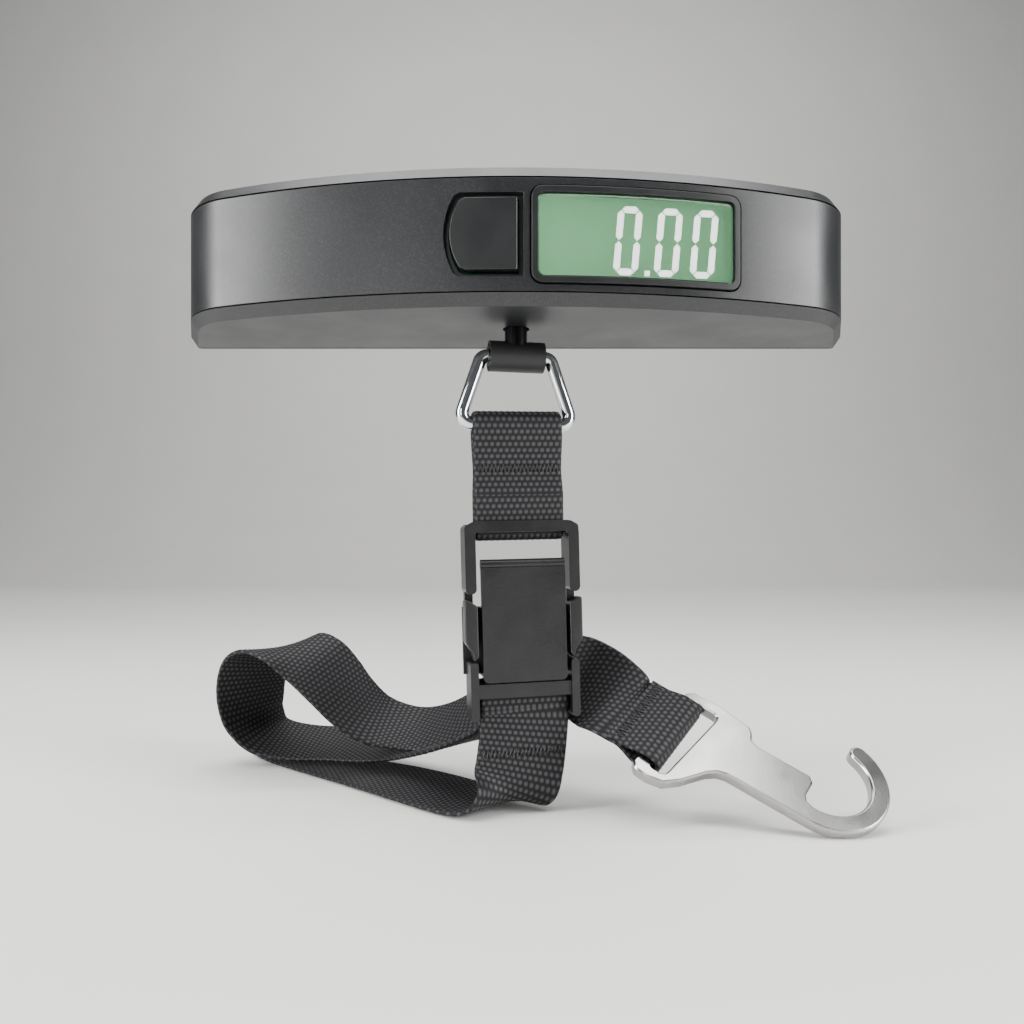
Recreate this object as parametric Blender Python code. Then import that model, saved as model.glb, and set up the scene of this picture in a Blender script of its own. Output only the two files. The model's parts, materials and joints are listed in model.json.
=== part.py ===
"""A digital luggage scale: a curved handheld housing with a display and a button, a load cell inside,
and under it a steel ring, a webbing loop, a side-release buckle, an adjustable strap and a flat hook.

Metres, +Z up. X runs to the right of the display, Y away from the reader. The origin is the middle of
the housing's flat top, where the hand takes the weight. The strap's slack lies on a bench 136.5 mm below it.
"""

import math

import bmesh
import bpy
from mathutils import Matrix, Vector

# Clearances
GAP = 0.0003
RUNNING = 0.0003

# Housing, a bar with a bowed front, leaning ends and a flat back
BODY_WIDTH = 0.160
BODY_DEPTH = 0.0388
BODY_HEIGHT = 0.0283
FRONT_RADIUS = 0.190
END_LEAN = math.radians(20)
CORNER_RADIUS = 0.017
BACK_CORNER_RADIUS = 0.0025
LIP_HEIGHT = 0.0024
LIP_INSET = 0.0016
WALL = 0.0030
FASCIA_THICKNESS = 0.0013
COVER_THICKNESS = 0.0025
SCREW_INSET = 0.0150
SCREW_SPREAD = 0.0124
SCREW_SHANK = 0.0010
SCREW_HEAD = 0.0020
SCREW_HEAD_HEIGHT = 0.0012
SCREW_LENGTH = 0.0085
BOSS_RADIUS = 0.0026

# Display and its board, on a frame that is square to the front where the window is
WINDOW_X = 0.0250
WINDOW_WIDTH = 0.0414
WINDOW_HEIGHT = 0.0170
WINDOW_CORNER = 0.0012
BEZEL_SIDE = 0.0013
BEZEL_RISE = 0.0004
GLASS_DEPTH = 0.0029
GLASS_THICKNESS = 0.0011
GLASS_MARGIN = 0.0002
SHELL_WINDOW_MARGIN = 0.0005
BACKLIGHT_THICKNESS = 0.0015
BOARD_DEPTH = 0.0085
BOARD_THICKNESS = 0.0012
BOARD_HEIGHT = 0.0200
BOARD_LEFT = -0.0420
BOARD_RIGHT = 0.0230
BOARD_SCREW_X = -0.0380
BOARD_SCREW_SPREAD = 0.0140
BOARD_BOSS_START = 0.0062

# Button
BUTTON_X = -0.0067
BUTTON_WIDTH = 0.0138
BUTTON_HEIGHT = 0.0146
BUTTON_BULGE = 0.0024
BUTTON_RISE = 0.0006
BUTTON_THICKNESS = 0.0022
BUTTON_TRAVEL = 0.0008
RECESS_MARGIN = 0.0012

# Load cell and the eye that hangs from it
BEAM_TOP = -0.0140
BEAM_HEIGHT = 0.0080
BEAM_DEPTH = 0.0120
BEAM_LEFT = -0.0460
BEAM_RIGHT = 0.0070
BEAM_BORE = 0.0028
BEAM_BORES_X = (-0.0245, -0.0135)
BEAM_SLOT = 0.0010
BEAM_SCREWS_X = (-0.0420, -0.0340)
BEAM_SCREW_RADIUS = 0.0015
EYE_BELOW = 0.0062
EYE_DROP = BODY_HEIGHT + EYE_BELOW
SHANK_RADIUS = 0.0025
EYE_RADIUS = 0.0024
SLEEVE_RADIUS = 0.0034
SLEEVE_LENGTH = 0.0124
WASHER_RADIUS = 0.0050
NUT_RADIUS = 0.0046

# Battery
BATTERY_X = 0.0440
CELL_RADIUS = 0.0100
CELL_THICKNESS = 0.0032
CAP_RADIUS = min(0.0108, BODY_HEIGHT / 2 - WALL - GAP)
CAP_TAB_REACH = 0.0016
CAP_TAB_THICKNESS = 0.0010
CAP_NOTCH_ANGLE = math.radians(50)
HOLDER_WALL = 0.0010
LEAD_RADIUS = 0.0006
LEAD_STANDOFF = 0.0025

# Ring
WIRE = 0.0015
RING_DROP = 0.0152
RING_LEAN = math.radians(19)
RING_TOP_BEND = 0.0020
RING_LOW_BEND = 0.0023

# Webbing and buckle
HANG_YAW = math.radians(11)
HANG_ROLL = math.radians(-1.5)
WEB_WIDTH = 0.0200
WEB_THICKNESS = 0.0012
WEB_CLEARANCE = 0.0004
BUCKLE_DROP = 0.0216
BUCKLE_FRONT = -0.0040
BUCKLE_BACK = 0.0030
BUCKLE_BAR_RADIUS = 0.0011
BUCKLE_BAR_Y = 0.0006
POST_WIDTH = 0.0024
POST_GAP = 0.0009
LIP_BAR_HEIGHT = 0.0024
LIP_BAR_DEPTH = 0.0013
POST_LENGTH = 0.0159
RAIL_LENGTH = 0.0115
RAIL_HALF = 0.0009
PLATE_WIDTH = 0.0188
PLATE_TOP = 0.0102
PLATE_HEIGHT = 0.0252
PLATE_THICKNESS = 0.0016
ROLL_RADIUS = 0.00115
TAB_TOP = 0.0170
TAB_HEIGHT = 0.0136
TAB_OUTER = 0.0132
ADJUSTER_TOP = 0.0309
ADJUSTER_HEIGHT = 0.0128
ADJUSTER_POST = 0.0018
ADJUSTER_LIP_TOP = 0.0358
ADJUSTER_LIP_HEIGHT = 0.0031

# Hook, cut from plate. Its frame starts at the middle of the bar that the webbing folds round.
HOOK_THICKNESS = 0.0030
HOOK_BAR = Vector((0.0330, -0.0042, -0.1180))
HOOK_STEM_WAY = Vector((0.7955, -0.3977, -0.4580))
HOOK_BAR_WAY = Vector((0.6000, 0.6186, 0.5070))
HOOK_BEND_CENTRE = (0.0330, 0.0116)
HOOK_BEND_INNER = 0.0087
HOOK_BEND_OUTER = 0.0126
HOOK_TIP_DEGREES = 76
HOOK_BAR_HALF = 0.0018
HOOK_SLOT = 0.0212
FOLD_REACH = 0.0073


# ---- looks ----
def look(name, colour, roughness, metallic=0.0, alpha=1.0):
    made = bpy.data.materials.new(name)
    made.use_nodes = True
    shader = made.node_tree.nodes["Principled BSDF"]
    shader.inputs["Base Color"].default_value = (*colour, 1.0)
    shader.inputs["Roughness"].default_value = roughness
    shader.inputs["Metallic"].default_value = metallic
    shader.inputs["Alpha"].default_value = alpha
    made.diffuse_color = (*colour, 1.0)
    return made


def looks():
    return {
        "housing": look("satin_charcoal", (0.035, 0.036, 0.038), 0.42),
        "rear": look("moulded_black", (0.020, 0.021, 0.022), 0.55),
        "button": look("button_black", (0.022, 0.022, 0.024), 0.50),
        "clear": look("clear_window", (0.85, 0.90, 0.88), 0.05, alpha=0.3),
        "display": look("display_green", (0.25, 0.46, 0.28), 0.25),
        "white": look("light_guide", (0.80, 0.82, 0.80), 0.50),
        "board": look("board_green", (0.02, 0.16, 0.07), 0.45),
        "resin": look("black_resin", (0.012, 0.012, 0.012), 0.35),
        "aluminium": look("machined_aluminium", (0.62, 0.63, 0.65), 0.35, 1.0),
        "steel": look("plated_steel", (0.58, 0.58, 0.57), 0.30, 1.0),
        "chrome": look("polished_chrome", (0.72, 0.73, 0.75), 0.08, 1.0),
        "nickel": look("satin_nickel", (0.64, 0.64, 0.65), 0.25, 1.0),
        "sleeve": look("matte_black_sleeve", (0.018, 0.018, 0.019), 0.60),
        "buckle": look("moulded_dark_grey", (0.040, 0.040, 0.042), 0.50),
        "webbing": look("black_webbing", (0.012, 0.012, 0.013), 0.80),
        "cell": look("cell_steel", (0.66, 0.66, 0.64), 0.25, 1.0),
        "film": look("gauge_film", (0.70, 0.42, 0.12), 0.40),
        "red": look("red_lead", (0.55, 0.03, 0.03), 0.45),
        "black": look("black_lead", (0.02, 0.02, 0.02), 0.45),
    }


# ---- making solids ----
def placed(name, mesh, finish=None, parent=None):
    made = bpy.data.objects.new(name, mesh)
    bpy.context.scene.collection.objects.link(made)
    made.parent = parent
    if finish:
        made.data.materials.append(finish)
        if made.type == "MESH":
            made.data.shade_smooth()
            made.data.set_sharp_from_angle(angle=math.radians(35))
    else:
        made.hide_render = True
        made.display_type = "WIRE"
    return made


def from_bmesh(name, bm, finish=None, parent=None):
    bmesh.ops.recalc_face_normals(bm, faces=bm.faces)
    mesh = bpy.data.meshes.new(name)
    bm.to_mesh(mesh)
    bm.free()
    return placed(name, mesh, finish, parent)


AXES = {"X": (2, 0, 1), "Y": (0, 2, 1), "Z": (0, 1, 2)}


def prism(name, outline, low, high, along="Z", finish=None, parent=None):
    """The outline, in the plane square to the axis, extruded from low to high."""
    order = AXES[along]
    bm = bmesh.new()
    corners = [bm.verts.new([(u, v, low)[k] for k in order]) for u, v in outline]
    grown = bmesh.ops.extrude_face_region(bm, geom=[bm.faces.new(corners)])
    step = Vector([(0, 0, high - low)[k] for k in order])
    bmesh.ops.translate(bm, vec=step, verts=[v for v in grown["geom"] if isinstance(v, bmesh.types.BMVert)])
    return from_bmesh(name, bm, finish, parent)


def block(name, low, high, finish=None, parent=None):
    corners = [(low[0], low[1]), (high[0], low[1]), (high[0], high[1]), (low[0], high[1])]
    return prism(name, corners, low[2], high[2], "Z", finish, parent)


def stack(name, rings, finish=None, parent=None):
    """Rings of points with one count, bridged in turn and capped at both ends."""
    bm = bmesh.new()
    rows = [[bm.verts.new(point) for point in ring] for ring in rings]
    for lower, upper in zip(rows, rows[1:]):
        for i in range(len(lower)):
            j = (i + 1) % len(lower)
            bm.faces.new((lower[i], lower[j], upper[j], upper[i]))
    bm.faces.new(rows[0])
    bm.faces.new(rows[-1])
    return from_bmesh(name, bm, finish, parent)


def rod(name, radius, start, end, finish=None, parent=None, sides=24, end_radius=None):
    start, end = Vector(start), Vector(end)
    turn = (end - start).to_track_quat("Z", "Y").to_matrix().to_4x4()
    bm = bmesh.new()
    bmesh.ops.create_cone(
        bm,
        cap_ends=True,
        segments=sides,
        radius1=radius,
        radius2=radius if end_radius is None else end_radius,
        depth=(end - start).length,
        matrix=Matrix.Translation((start + end) / 2) @ turn,
    )
    return from_bmesh(name, bm, finish, parent)


def wire(name, points, radius, finish=None, parent=None, closed=False, resolution=2):
    curve = bpy.data.curves.new(name, "CURVE")
    curve.dimensions = "3D"
    curve.bevel_depth = radius
    curve.bevel_resolution = resolution
    curve.use_fill_caps = not closed
    line = curve.splines.new("POLY")
    line.points.add(len(points) - 1)
    for made, point in zip(line.points, points):
        made.co = (*point, 1.0)
    line.use_cyclic_u = closed
    return placed(name, curve, finish, parent)


def boolean(target, operation, others):
    for other in others:
        step = target.modifiers.new(f"{operation.lower()}_{other.name}", "BOOLEAN")
        step.operation = operation
        step.object = other
        step.solver = "EXACT"
        other.hide_render = True
        other.display_type = "WIRE"
    return target


def cut(target, *others):
    return boolean(target, "DIFFERENCE", others)


def join(target, *others):
    return boolean(target, "UNION", others)


def keep(target, *others):
    return boolean(target, "INTERSECT", others)


def frame(name, place, turn=(0.0, 0.0, 0.0), parent=None):
    made = bpy.data.objects.new(name, None)
    bpy.context.scene.collection.objects.link(made)
    made.location = place
    made.rotation_euler = turn
    made.parent = parent
    return made


# ---- outlines ----
def arc(centre, radius, start, end, steps):
    """Points along an arc, both ends included. Angles are in radians from +X, counter-clockwise."""
    angles = [start + (end - start) * i / steps for i in range(steps + 1)]
    return [(centre[0] + radius * math.cos(a), centre[1] + radius * math.sin(a)) for a in angles]


def rounded(width, height, radius, centre=(0.0, 0.0), steps=4):
    x, y = width / 2 - radius, height / 2 - radius
    points = []
    for k, (sx, sy) in enumerate(((1, 1), (-1, 1), (-1, -1), (1, -1))):
        middle = (centre[0] + sx * x, centre[1] + sy * y)
        points += arc(middle, radius, k * math.pi / 2, (k + 1) * math.pi / 2, steps)
    return points


def fillet(corners, radii, steps=5):
    """A closed outline of corner points, each one rounded by its own radius."""
    points = []
    for k, (corner, radius) in enumerate(zip(corners, radii)):
        here = Vector(corner)
        back = (Vector(corners[k - 1]) - here).normalized()
        on = (Vector(corners[(k + 1) % len(corners)]) - here).normalized()
        half = back.angle(on) / 2
        if radius <= 0:
            points.append(tuple(here))
            continue
        middle = here + (back + on).normalized() * (radius / math.sin(half))
        first = here + back * (radius / math.tan(half)) - middle
        turn = (math.pi - 2 * half) * (1 if back.cross(on) < 0 else -1)
        start = math.atan2(first.y, first.x)
        points += arc(middle, radius, start, start + turn, steps)
    return points


BODY_FRONT = -BODY_DEPTH / 2
BODY_BACK = BODY_DEPTH / 2
ARC_CENTRE = Vector((0.0, BODY_FRONT + FRONT_RADIUS))
MIDDLE_Z = -BODY_HEIGHT / 2
RECESS = FASCIA_THICKNESS + GAP
SCREW_X = BODY_WIDTH / 2 - SCREW_INSET


def plan(inset=0.0, back=None):
    """The housing's plan, inset all round, counter-clockwise. back moves its flat back."""
    back = BODY_BACK - inset if back is None else back
    side = Vector((math.cos(END_LEAN), -math.sin(END_LEAN)))
    reach = side.dot(Vector((BODY_WIDTH / 2, BODY_BACK))) - inset
    front, corner = FRONT_RADIUS - inset, CORNER_RADIUS - inset
    tight = max(BACK_CORNER_RADIUS - inset, 0.0)
    swing = math.asin((reach - corner - side.dot(ARC_CENTRE)) / (front - corner)) - END_LEAN
    middle = ARC_CENTRE + (front - corner) * Vector((math.sin(swing), -math.cos(swing)))
    low_y = back - tight
    low_x = (reach - tight + side.y * -low_y) / side.x
    half = math.pi / 2
    right = arc(middle, corner, swing - half, -END_LEAN, 8)
    if tight > 0:
        right += arc((low_x, low_y), tight, -END_LEAN, half, 4)
    else:
        right.append((low_x, low_y))
    bow = arc(ARC_CENTRE, front, -half - swing, swing - half, 26)[1:-1]
    left = [(-x, y) for x, y in reversed(right)]
    return left + bow + right


def level(inset, z, back=None):
    return [(x, y, z) for x, y in plan(inset, back)]


def front_at(x):
    """Y of the housing's front at X."""
    return ARC_CENTRE.y - math.sqrt(FRONT_RADIUS**2 - x**2)


def bow_shell(name, outer, inner, outline, finish=None, parent=None):
    """A patch of the bowed front between two insets, cut by an outline that is extruded back from it."""
    made = prism(name, outline, -0.02, 0.02, "Y", finish, parent)
    keep(made, prism(name + "_outer", plan(outer), -BODY_HEIGHT, 0.0))
    return cut(made, prism(name + "_inner", plan(inner), -BODY_HEIGHT - GAP, GAP))


def button_outline(margin=0.0):
    """A rectangle whose left side bulges, round its corners."""
    half_w, half_h = BUTTON_WIDTH / 2 + margin, BUTTON_HEIGHT / 2 + margin
    left = -half_w + BUTTON_BULGE
    radius = (half_h**2 + BUTTON_BULGE**2) / (2 * BUTTON_BULGE)
    sweep = math.asin(half_h / radius)
    side = arc(
        (left - BUTTON_BULGE + radius, 0.0), radius, math.pi - sweep * 0.92, math.pi + sweep * 0.92, 8
    )
    low_right, high_right = (half_w, -half_h), (half_w, half_h)
    flat = [(left + 0.0008, -half_h), low_right, high_right, (left + 0.0008, half_h)]
    return [(x + BUTTON_X, z + MIDDLE_Z) for x, z in side + flat]


# ---- housing ----
def housing(look_of, display):
    base, top = -BODY_HEIGHT, 0.0
    shell = stack(
        "front_housing",
        [
            level(LIP_INSET, base),
            level(0.0, base + LIP_HEIGHT),
            level(RECESS, base + LIP_HEIGHT),
            level(RECESS, top - LIP_HEIGHT),
            level(0.0, top - LIP_HEIGHT),
            level(LIP_INSET, top),
        ],
        look_of["housing"],
    )
    seam = BODY_BACK - COVER_THICKNESS - GAP
    behind = block("behind_seam", (-0.1, seam, -0.05), (0.1, 0.05, 0.05))
    hollow = prism("housing_hollow", plan(WALL, BODY_BACK + WALL), base + WALL, top - WALL)
    cut(shell, hollow)
    inside = prism("boss_limits", plan(RECESS + GAP, BODY_BACK), base, top)
    bosses = []
    for side in (-1, 1):
        for level_z in (MIDDLE_Z - SCREW_SPREAD / 2, MIDDLE_Z + SCREW_SPREAD / 2):
            place = (side * SCREW_X, level_z)
            start = front_at(SCREW_X)
            boss = rod(
                f"boss_{len(bosses)}",
                BOSS_RADIUS,
                (place[0], start, place[1]),
                (place[0], seam + GAP, place[1]),
            )
            bosses.append(keep(boss, inside))
    join(shell, *bosses)
    for k, boss in enumerate(bosses):
        x = math.copysign(SCREW_X, -1 if k < 2 else 1)
        z = MIDDLE_Z + (SCREW_SPREAD / 2 if k % 2 else -SCREW_SPREAD / 2)
        depth = BODY_BACK - SCREW_HEAD_HEIGHT - SCREW_LENGTH - GAP
        cut(shell, rod(f"pilot_{k}", SCREW_SHANK + GAP, (x, depth, z), (x, BODY_BACK + WALL, z)))
    for spread in (-1, 1):
        at = MIDDLE_Z + spread * BOARD_SCREW_SPREAD / 2
        join(
            shell,
            rod(
                f"board_boss_{spread}",
                0.0020,
                (BOARD_SCREW_X, BOARD_BOSS_START, at),
                (BOARD_SCREW_X, BOARD_DEPTH - GAP, at),
                parent=display,
            ),
        )
        cut(
            shell,
            rod(
                f"board_pilot_{spread}",
                0.0010,
                (BOARD_SCREW_X, BOARD_BOSS_START + GAP, at),
                (BOARD_SCREW_X, BOARD_DEPTH, at),
                parent=display,
            ),
        )
    shell_window = rounded(
        WINDOW_WIDTH + 2 * SHELL_WINDOW_MARGIN,
        WINDOW_HEIGHT + 2 * SHELL_WINDOW_MARGIN,
        WINDOW_CORNER / 2,
        (0, MIDDLE_Z),
    )
    cut(
        shell,
        behind,
        prism("window_cut", shell_window, -0.01, GLASS_DEPTH + 0.002, "Y", parent=display),
        prism("button_cut", button_outline(RUNNING), -0.03, -0.005, "Y"),
        rod("shank_hole", SHANK_RADIUS + RUNNING + 0.0002, (0, 0, base - WALL), (0, 0, base + 2 * WALL)),
    )

    edge = LIP_HEIGHT + GAP
    fascia = prism("front_fascia", plan(0.0), base + edge, top - edge, finish=look_of["housing"])
    cut(
        fascia,
        prism("fascia_hollow", plan(FASCIA_THICKNESS, BODY_BACK + WALL), base, top),
        block("behind_fascia", (-0.1, seam, -0.05), (0.1, 0.05, 0.05)),
        prism(
            "bezel_cut",
            rounded(
                WINDOW_WIDTH + 2 * BEZEL_SIDE + 2 * GAP,
                WINDOW_HEIGHT + 2 * BEZEL_SIDE + 2 * GAP,
                WINDOW_CORNER + BEZEL_SIDE,
                (0, MIDDLE_Z),
            ),
            -0.01,
            0.01,
            "Y",
            parent=display,
        ),
        prism("recess_cut", button_outline(RECESS_MARGIN), -0.03, -0.005, "Y"),
    )

    cover = stack(
        "rear_cover",
        [
            level(LIP_INSET, base),
            level(0.0, base + LIP_HEIGHT),
            level(0.0, top - LIP_HEIGHT),
            level(LIP_INSET, top),
        ],
        look_of["rear"],
    )
    inner_face = BODY_BACK - COVER_THICKNESS
    cut(cover, block("ahead_of_cover", (-0.1, -0.05, -0.05), (0.1, inner_face, 0.05)))
    for x in (-SCREW_X, SCREW_X):
        for z in (MIDDLE_Z - SCREW_SPREAD / 2, MIDDLE_Z + SCREW_SPREAD / 2):
            number = 1 + (x > 0) * 2 + (z > MIDDLE_Z)
            head = BODY_BACK - SCREW_HEAD_HEIGHT
            cut(
                cover,
                rod(
                    f"screw_hole_{number}",
                    SCREW_SHANK + GAP,
                    (x, inner_face - WALL, z),
                    (x, BODY_BACK + WALL, z),
                ),
                rod(f"screw_sink_{number}", SCREW_HEAD + GAP, (x, head - GAP, z), (x, BODY_BACK + WALL, z)),
            )
            screw = rod(
                f"housing_screw_{number}",
                SCREW_HEAD,
                (x, head, z),
                (x, BODY_BACK - 0.0001, z),
                look_of["steel"],
            )
            join(
                screw,
                rod(
                    f"screw_shank_{number}",
                    SCREW_SHANK,
                    (x, head - SCREW_LENGTH, z),
                    (x, head + 0.0005, z),
                    sides=16,
                ),
            )
            for turn in (0.0, math.pi / 2):
                slot = block(
                    f"screw_cross_{number}_{turn:.0f}",
                    (-0.0012, -0.0008, -0.0002),
                    (0.0012, 0.0008, 0.0002),
                )
                slot.location = (x, BODY_BACK, z)
                slot.rotation_euler = (0, turn, 0)
                cut(screw, slot)
    notches = []
    for side in (0.0, math.pi):
        turn = CAP_NOTCH_ANGLE + side
        notch = block(
            f"cap_notch_{side:.0f}", (0.0, -0.01, -0.0022), (CAP_RADIUS + CAP_TAB_REACH + GAP, 0.01, 0.0022)
        )
        notch.location = (BATTERY_X, BODY_BACK, MIDDLE_Z)
        notch.rotation_euler = (0, -turn, 0)
        notches.append(notch)
    cut(
        cover,
        rod(
            "cap_hole",
            CAP_RADIUS + RUNNING,
            (BATTERY_X, 0, MIDDLE_Z),
            (BATTERY_X, 0.05, MIDDLE_Z),
            sides=48,
        ),
        *notches,
    )


# ---- display, board and button ----
def display_parts(look_of, display):
    """Depths are along the display frame's Y, from the housing's front at the middle of the window."""
    outer = rounded(
        WINDOW_WIDTH + 2 * BEZEL_SIDE,
        WINDOW_HEIGHT + 2 * BEZEL_SIDE,
        WINDOW_CORNER + BEZEL_SIDE - GAP,
        (0, MIDDLE_Z),
    )
    opening = rounded(WINDOW_WIDTH, WINDOW_HEIGHT, WINDOW_CORNER, (0, MIDDLE_Z))
    pane = rounded(WINDOW_WIDTH - 2 * GAP, WINDOW_HEIGHT - 2 * GAP, WINDOW_CORNER, (0, MIDDLE_Z))
    bezel = bow_shell("display_bezel", -BEZEL_RISE, FASCIA_THICKNESS, outer, look_of["button"], display)
    cut(bezel, prism("bezel_opening", opening, -0.03, 0.03, "Y", parent=display))
    bow_shell("display_window", 0.0002, FASCIA_THICKNESS, pane, look_of["clear"], display)

    glass_half = WINDOW_WIDTH / 2 + GLASS_MARGIN
    half_h = WINDOW_HEIGHT / 2 + GLASS_MARGIN
    back = GLASS_DEPTH + GLASS_THICKNESS
    block(
        "lcd_glass",
        (-glass_half, GLASS_DEPTH, MIDDLE_Z - half_h),
        (glass_half, back, MIDDLE_Z + half_h),
        look_of["display"],
        display,
    )
    light_end = back + GAP + BACKLIGHT_THICKNESS
    light = block(
        "backlight",
        (-glass_half, back + GAP, MIDDLE_Z - half_h + 0.0022),
        (glass_half, light_end, MIDDLE_Z + half_h),
        look_of["white"],
        display,
    )
    bevel = light.modifiers.new("rounded_edges", "BEVEL")
    bevel.width = 0.0003
    bevel.segments = 2
    block(
        "lcd_connector",
        (-glass_half, back + GAP, MIDDLE_Z - half_h),
        (glass_half, BOARD_DEPTH - GAP, MIDDLE_Z - half_h + 0.0018),
        look_of["resin"],
        display,
    )

    low, high = MIDDLE_Z - BOARD_HEIGHT / 2, MIDDLE_Z + BOARD_HEIGHT / 2
    board_back = BOARD_DEPTH + BOARD_THICKNESS
    outline = rounded(
        BOARD_RIGHT - BOARD_LEFT, high - low, 0.0015, ((BOARD_LEFT + BOARD_RIGHT) / 2, MIDDLE_Z)
    )
    board = prism("circuit_board", outline, BOARD_DEPTH, board_back, "Y", look_of["board"], display)
    for number, spread in ((1, -1), (2, 1)):
        at = MIDDLE_Z + spread * BOARD_SCREW_SPREAD / 2
        cut(
            board,
            rod(
                f"board_hole_{number}",
                0.0011,
                (BOARD_SCREW_X, 0, at),
                (BOARD_SCREW_X, 0.02, at),
                parent=display,
                sides=16,
            ),
        )
        screw = rod(
            f"board_screw_{number}",
            0.0017,
            (BOARD_SCREW_X, board_back + GAP, at),
            (BOARD_SCREW_X, board_back + GAP + 0.0010, at),
            look_of["steel"],
            display,
            16,
        )
        join(
            screw,
            rod(
                f"board_shank_{number}",
                0.0007,
                (BOARD_SCREW_X, BOARD_BOSS_START + 2 * GAP, at),
                (BOARD_SCREW_X, board_back + GAP + 0.0005, at),
                parent=display,
                sides=12,
            ),
        )
    rod(
        "chip_resin",
        0.0045,
        (0.0, board_back + GAP, MIDDLE_Z),
        (0.0, board_back + GAP + 0.0014, MIDDLE_Z),
        look_of["resin"],
        display,
        32,
        0.0030,
    )


def button_parts(look_of, display):
    face = front_at(BUTTON_X) - BUTTON_RISE
    cap = prism(
        "unit_button", button_outline(), face - 0.002, face + BUTTON_THICKNESS, "Y", look_of["button"]
    )
    keep(cap, prism("button_bow", plan(-BUTTON_RISE), -BODY_HEIGHT, 0.0))
    switch_x = (BUTTON_X - WINDOW_X) / math.cos(display.rotation_euler.z)
    switch_top = BOARD_DEPTH - GAP - 0.0020
    tact = block(
        "tact_switch",
        (switch_x - 0.0030, switch_top, MIDDLE_Z - 0.0030),
        (switch_x + 0.0030, BOARD_DEPTH - GAP, MIDDLE_Z + 0.0030),
        look_of["steel"],
        display,
    )
    plunger_top = switch_top - 0.0006
    join(
        tact,
        rod(
            "switch_plunger",
            0.0015,
            (switch_x, plunger_top, MIDDLE_Z),
            (switch_x, switch_top + 0.0005, MIDDLE_Z),
            parent=display,
            sides=16,
        ),
    )


# ---- load cell and eye ----
def load_cell_parts(look_of, hang):
    base = BEAM_TOP - BEAM_HEIGHT
    half = BEAM_DEPTH / 2
    middle = (BEAM_TOP + base) / 2
    beam = block("load_cell", (BEAM_LEFT, -half, base), (BEAM_RIGHT, half, BEAM_TOP), look_of["aluminium"])
    bores = [
        rod(f"beam_bore_{k}", BEAM_BORE, (x, -0.02, middle), (x, 0.02, middle))
        for k, x in enumerate(BEAM_BORES_X)
    ]
    slot = block(
        "beam_slot",
        (BEAM_BORES_X[0], -0.02, middle - BEAM_SLOT),
        (BEAM_BORES_X[1], 0.02, middle + BEAM_SLOT),
    )
    cut(beam, *bores, slot, rod("beam_eye_hole", SHANK_RADIUS + RUNNING, (0, 0, -0.04), (0, 0, 0)))
    spacer_top = -WALL - GAP
    spacer = block(
        "load_cell_block",
        (BEAM_LEFT, -half, BEAM_TOP + GAP),
        (BEAM_SCREWS_X[1] + 0.004, half, spacer_top),
        look_of["rear"],
    )
    for number, x in enumerate(BEAM_SCREWS_X, 1):
        hole = rod(
            f"beam_screw_hole_{number}", BEAM_SCREW_RADIUS + GAP, (x, 0, -0.04), (x, 0, BEAM_TOP + 0.0075)
        )
        cut(beam, hole)
        cut(spacer, hole)
        screw = rod(
            f"load_cell_screw_{number}",
            0.0028,
            (x, 0, base - GAP - 0.0018),
            (x, 0, base - GAP),
            look_of["steel"],
        )
        join(
            screw,
            rod(
                f"beam_screw_shank_{number}",
                BEAM_SCREW_RADIUS,
                (x, 0, base - GAP - 0.0005),
                (x, 0, BEAM_TOP + 0.0070),
                sides=16,
            ),
        )
    gauge_x = sum(BEAM_BORES_X) / 2
    film = 0.0003
    for name, low in (("strain_gauge_top", BEAM_TOP + GAP), ("strain_gauge_bottom", base - GAP - film)):
        block(
            name, (gauge_x - 0.0040, -0.0030, low), (gauge_x + 0.0040, 0.0030, low + film), look_of["film"]
        )

    eye = rod("load_eye", SHANK_RADIUS, (0, 0, 0.0008), (0, 0, EYE_DROP - 0.0070), look_of["steel"], hang)
    join(
        eye,
        rod("eye_barrel", EYE_RADIUS, (-SLEEVE_LENGTH / 2, 0, 0), (SLEEVE_LENGTH / 2, 0, 0), parent=hang),
    )
    cut(eye, rod("eye_bore", WIRE + RUNNING, (-0.02, 0, 0), (0.02, 0, 0), parent=hang))
    sleeve = rod(
        "eye_sleeve",
        SLEEVE_RADIUS,
        (-SLEEVE_LENGTH / 2, 0, 0),
        (SLEEVE_LENGTH / 2, 0, 0),
        look_of["sleeve"],
        hang,
        32,
    )
    cut(
        sleeve,
        rod("sleeve_bore", EYE_RADIUS + GAP, (-0.02, 0, 0), (0.02, 0, 0), parent=hang),
        rod("sleeve_port", SHANK_RADIUS + GAP, (0, 0, 0), (0, 0, 0.02), parent=hang),
    )
    seat = EYE_DROP + BEAM_TOP + GAP
    washer = rod(
        "eye_washer", WASHER_RADIUS, (0, 0, seat), (0, 0, seat + 0.0010), look_of["steel"], hang, 32
    )
    nut = rod(
        "eye_nut", NUT_RADIUS, (0, 0, seat + 0.0010 + GAP), (0, 0, seat + 0.0050), look_of["steel"], hang, 6
    )
    through = rod("nut_hole", SHANK_RADIUS + GAP, (0, 0, 0.004), (0, 0, 0.05), parent=hang)
    cut(washer, through)
    cut(nut, through)


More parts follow.
